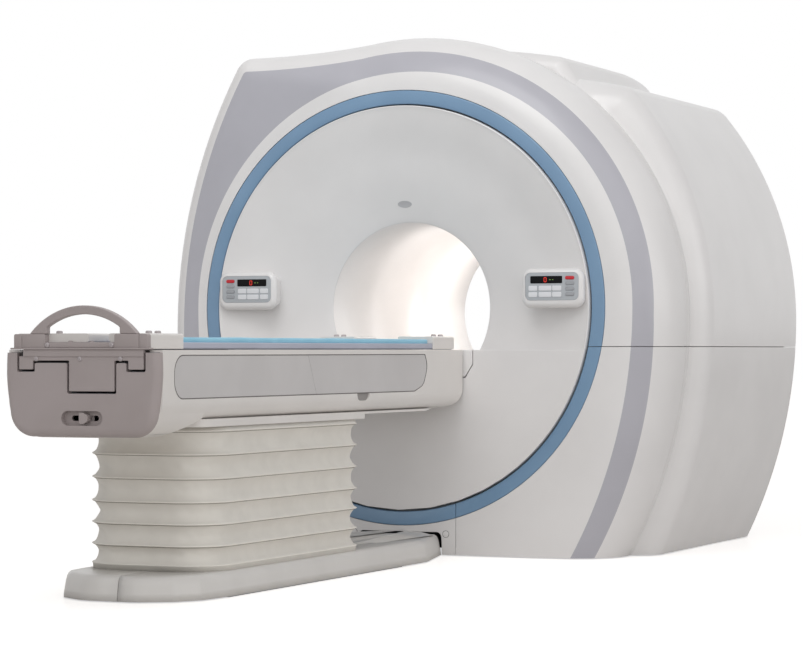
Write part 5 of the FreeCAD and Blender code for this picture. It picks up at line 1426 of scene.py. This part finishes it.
# the node's loose triangles are merged in a copy, and its flats joined
def dressNode(node):
    source = frame["nodes"][node]
    bm = bmesh.new()
    bm.from_mesh(source.data)
    bmesh.ops.remove_doubles(bm, verts=bm.verts, dist=copies["merge"])
    bmesh.ops.dissolve_limit(bm, angle_limit=math.radians(copies["flat"]), verts=bm.verts, edges=bm.edges)
    words = node.split("_")
    name = words[0] + "".join(word.capitalize() for word in words[1:])
    finishPiece(bm, name, [nodeSlots[node]], [node], rides=source["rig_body"],
                edgeRound=copies.get(node, copies["edge"]), sharpAngle=copies["sharpAngle"])


def buildCopies():
    done = {node for nodes in replacedBy.values() for node in nodes}
    for node in frame["nodes"]:
        if node not in done:
            dressNode(node)


cameraView = {
    "place": (4.638, -11.312, 0.8367), "turn": 23.82, "lens": 125.53, "sensor": 36.0, "shiftY": 0.0305,
}


def buildCamera():
    o, data = cameraView, bpy.data.cameras.new("studioCamera")
    data.lens, data.sensor_width, data.shift_y = o["lens"], o["sensor"], o["shiftY"]
    camera = bpy.data.objects.new("studioCamera", data)
    camera.location = o["place"]
    camera.rotation_euler = (math.radians(90.0), 0.0, math.radians(o["turn"]))
    bpy.context.scene.collection.objects.link(camera)
    bpy.context.scene.camera = camera


studio = {
    "world": 0.46, "sky": (0.975, 0.98, 1.0, 1.0), "white": (1.0, 1.0, 1.0, 1.0),
    "floorTones": ("#E2DEDA", "#E5E1DD"), "floorSize": 60.0, "floorGrainMm": 40.0,
    "floorLift": 0.55, "floorMirror": 0.09, "mirrorRoughness": 0.12,
    "suns": (                # direction it comes from, strength, angle across in degrees
        ("fillSun", (0.35, -0.85, 0.50), 0.60, 60.0),
        ("sideSun", (1.0, -0.22, 0.02), 0.78, 50.0),
    ),
    "softbox": ((0.3, -3.0, 3.9), (0.0, -0.85, 1.0), 2.2, 34.0),         # place, target, size, power
    "boreLamps": (((0.0, 0.45, 1.10), 2.7), ((0.0, -0.25, 1.12), 1.3)), "boreLampRadius": 0.12,
    "sunPlace": (0, 0, 6.0),
}


def aimedLamp(name, kind, place, direction):
    data = bpy.data.lights.new(name, kind)
    lamp = bpy.data.objects.new(name, data)
    lamp.location = place
    lamp.rotation_euler = Vector(direction).to_track_quat("-Z", "Y").to_euler()
    lamp.visible_camera = False
    bpy.context.scene.collection.objects.link(lamp)
    return data


# two shaders mixed or added, linked in order
def joinShaders(tree, kind, first, second, values=None, links=None):
    both = addNode(tree, kind, values, links)
    sockets = [socket for socket in both.inputs if socket.type == "SHADER"]
    tree.links.new(first.outputs[0], sockets[0])
    tree.links.new(second.outputs[0], sockets[1])
    return both


# dim sky for the light, plain white for what is seen, mirrored or seen through glass
def buildWorld():
    world = bpy.data.worlds.new("studioWorld")
    world.use_nodes = True
    tree = world.node_tree
    tree.nodes.clear()
    rays = addNode(tree, "ShaderNodeLightPath")
    shown = rays.outputs["Is Camera Ray"]
    for kind in ("Is Transmission Ray", "Is Glossy Ray"):
        either = addNode(tree, "ShaderNodeMath", operation="MAXIMUM")
        tree.links.new(shown, either.inputs[0])
        tree.links.new(rays.outputs[kind], either.inputs[1])
        shown = either.outputs["Value"]
    dim = addNode(tree, "ShaderNodeBackground", {"Color": studio["sky"], "Strength": studio["world"]})
    white = addNode(tree, "ShaderNodeBackground", {"Color": studio["white"], "Strength": 1.0})
    mix = joinShaders(tree, "ShaderNodeMixShader", dim, white, links={"Fac": shown})
    addNode(tree, "ShaderNodeOutputWorld", {}, {"Surface": mix.outputs["Shader"]})
    bpy.context.scene.world = world


# pale floor that keeps its shadows; seen directly it is lifted to the white of the backdrop
def buildFloor():
    bm = bmesh.new()
    bmesh.ops.create_grid(bm, x_segments=1, y_segments=1, size=studio["floorSize"])
    mesh = bpy.data.meshes.new("studioFloor")
    bm.to_mesh(mesh)
    bm.free()
    floor = bpy.data.objects.new("studioFloor", mesh)
    bpy.context.scene.collection.objects.link(floor)
    material, tree, shader, where = newMaterial("paperFloor")
    output = next(node for node in tree.nodes if node.type == "OUTPUT_MATERIAL")
    grain = addNode(tree, "ShaderNodeTexNoise", {"Scale": perMetre(studio["floorGrainMm"]), "Detail": 2.0},
                    {"Vector": where})
    tree.links.new(toneMix(tree, grain.outputs["Fac"], *studio["floorTones"]), shader.inputs["Base Color"])
    shader.inputs["Roughness"].default_value = 1.0
    shader.inputs["Specular IOR Level"].default_value = 0.0
    gloss = addNode(tree, "ShaderNodeBsdfGlossy",
                    {"Color": studio["white"], "Roughness": studio["mirrorRoughness"]})
    mirror = joinShaders(tree, "ShaderNodeMixShader", shader, gloss, {"Fac": studio["floorMirror"]})
    rays = addNode(tree, "ShaderNodeLightPath")
    lift = addNode(tree, "ShaderNodeMath", operation="MULTIPLY")
    tree.links.new(rays.outputs["Is Camera Ray"], lift.inputs[0])
    lift.inputs[1].default_value = studio["floorLift"]
    glow = addNode(tree, "ShaderNodeEmission", {"Color": studio["white"]},
                   {"Strength": lift.outputs["Value"]})
    both = joinShaders(tree, "ShaderNodeAddShader", mirror, glow)
    tree.links.new(both.outputs["Shader"], output.inputs["Surface"])
    mesh.materials.append(material)


def buildStudio():
    bpy.context.scene.view_settings.view_transform = "Standard"
    buildWorld()
    buildFloor()
    for name, source, strength, angle in studio["suns"]:
        data = aimedLamp(name, "SUN", studio["sunPlace"], -Vector(source))
        data.energy, data.angle = strength, math.radians(angle)
    place, target, size, power = studio["softbox"]
    data = aimedLamp("softbox", "AREA", place, Vector(target) - Vector(place))
    data.shape, data.size, data.energy = "DISK", size, power
    for place, power in studio["boreLamps"]:
        data = aimedLamp("boreLamp", "POINT", place, (0, 0, -1))
        data.energy, data.shadow_soft_size = power, studio["boreLampRadius"]


stages = (
    ("front covers", buildFrontCovers, buildKickPanel),
    ("side covers", buildSideCovers),
    ("roof cover and ring", buildRoofCover, buildRing),
    ("disc and bore", buildDisc, buildBridge, buildSensorWindow, buildBore),
    ("bellows and mattress", buildBellows, buildMattress),
    ("base covers and side grooves", buildBaseCovers, buildSideGrooves),
    ("table foot", buildEndCap, buildEndPlate, buildScrewHeads, buildHandleBracket, buildEndBlocks),
    ("pods", buildPods),
    ("copies", buildCopies),
    ("studio", buildStudio, buildCamera),
)
for stage, *steps in stages:
    for build in steps:
        build()
    print(stage, "done")
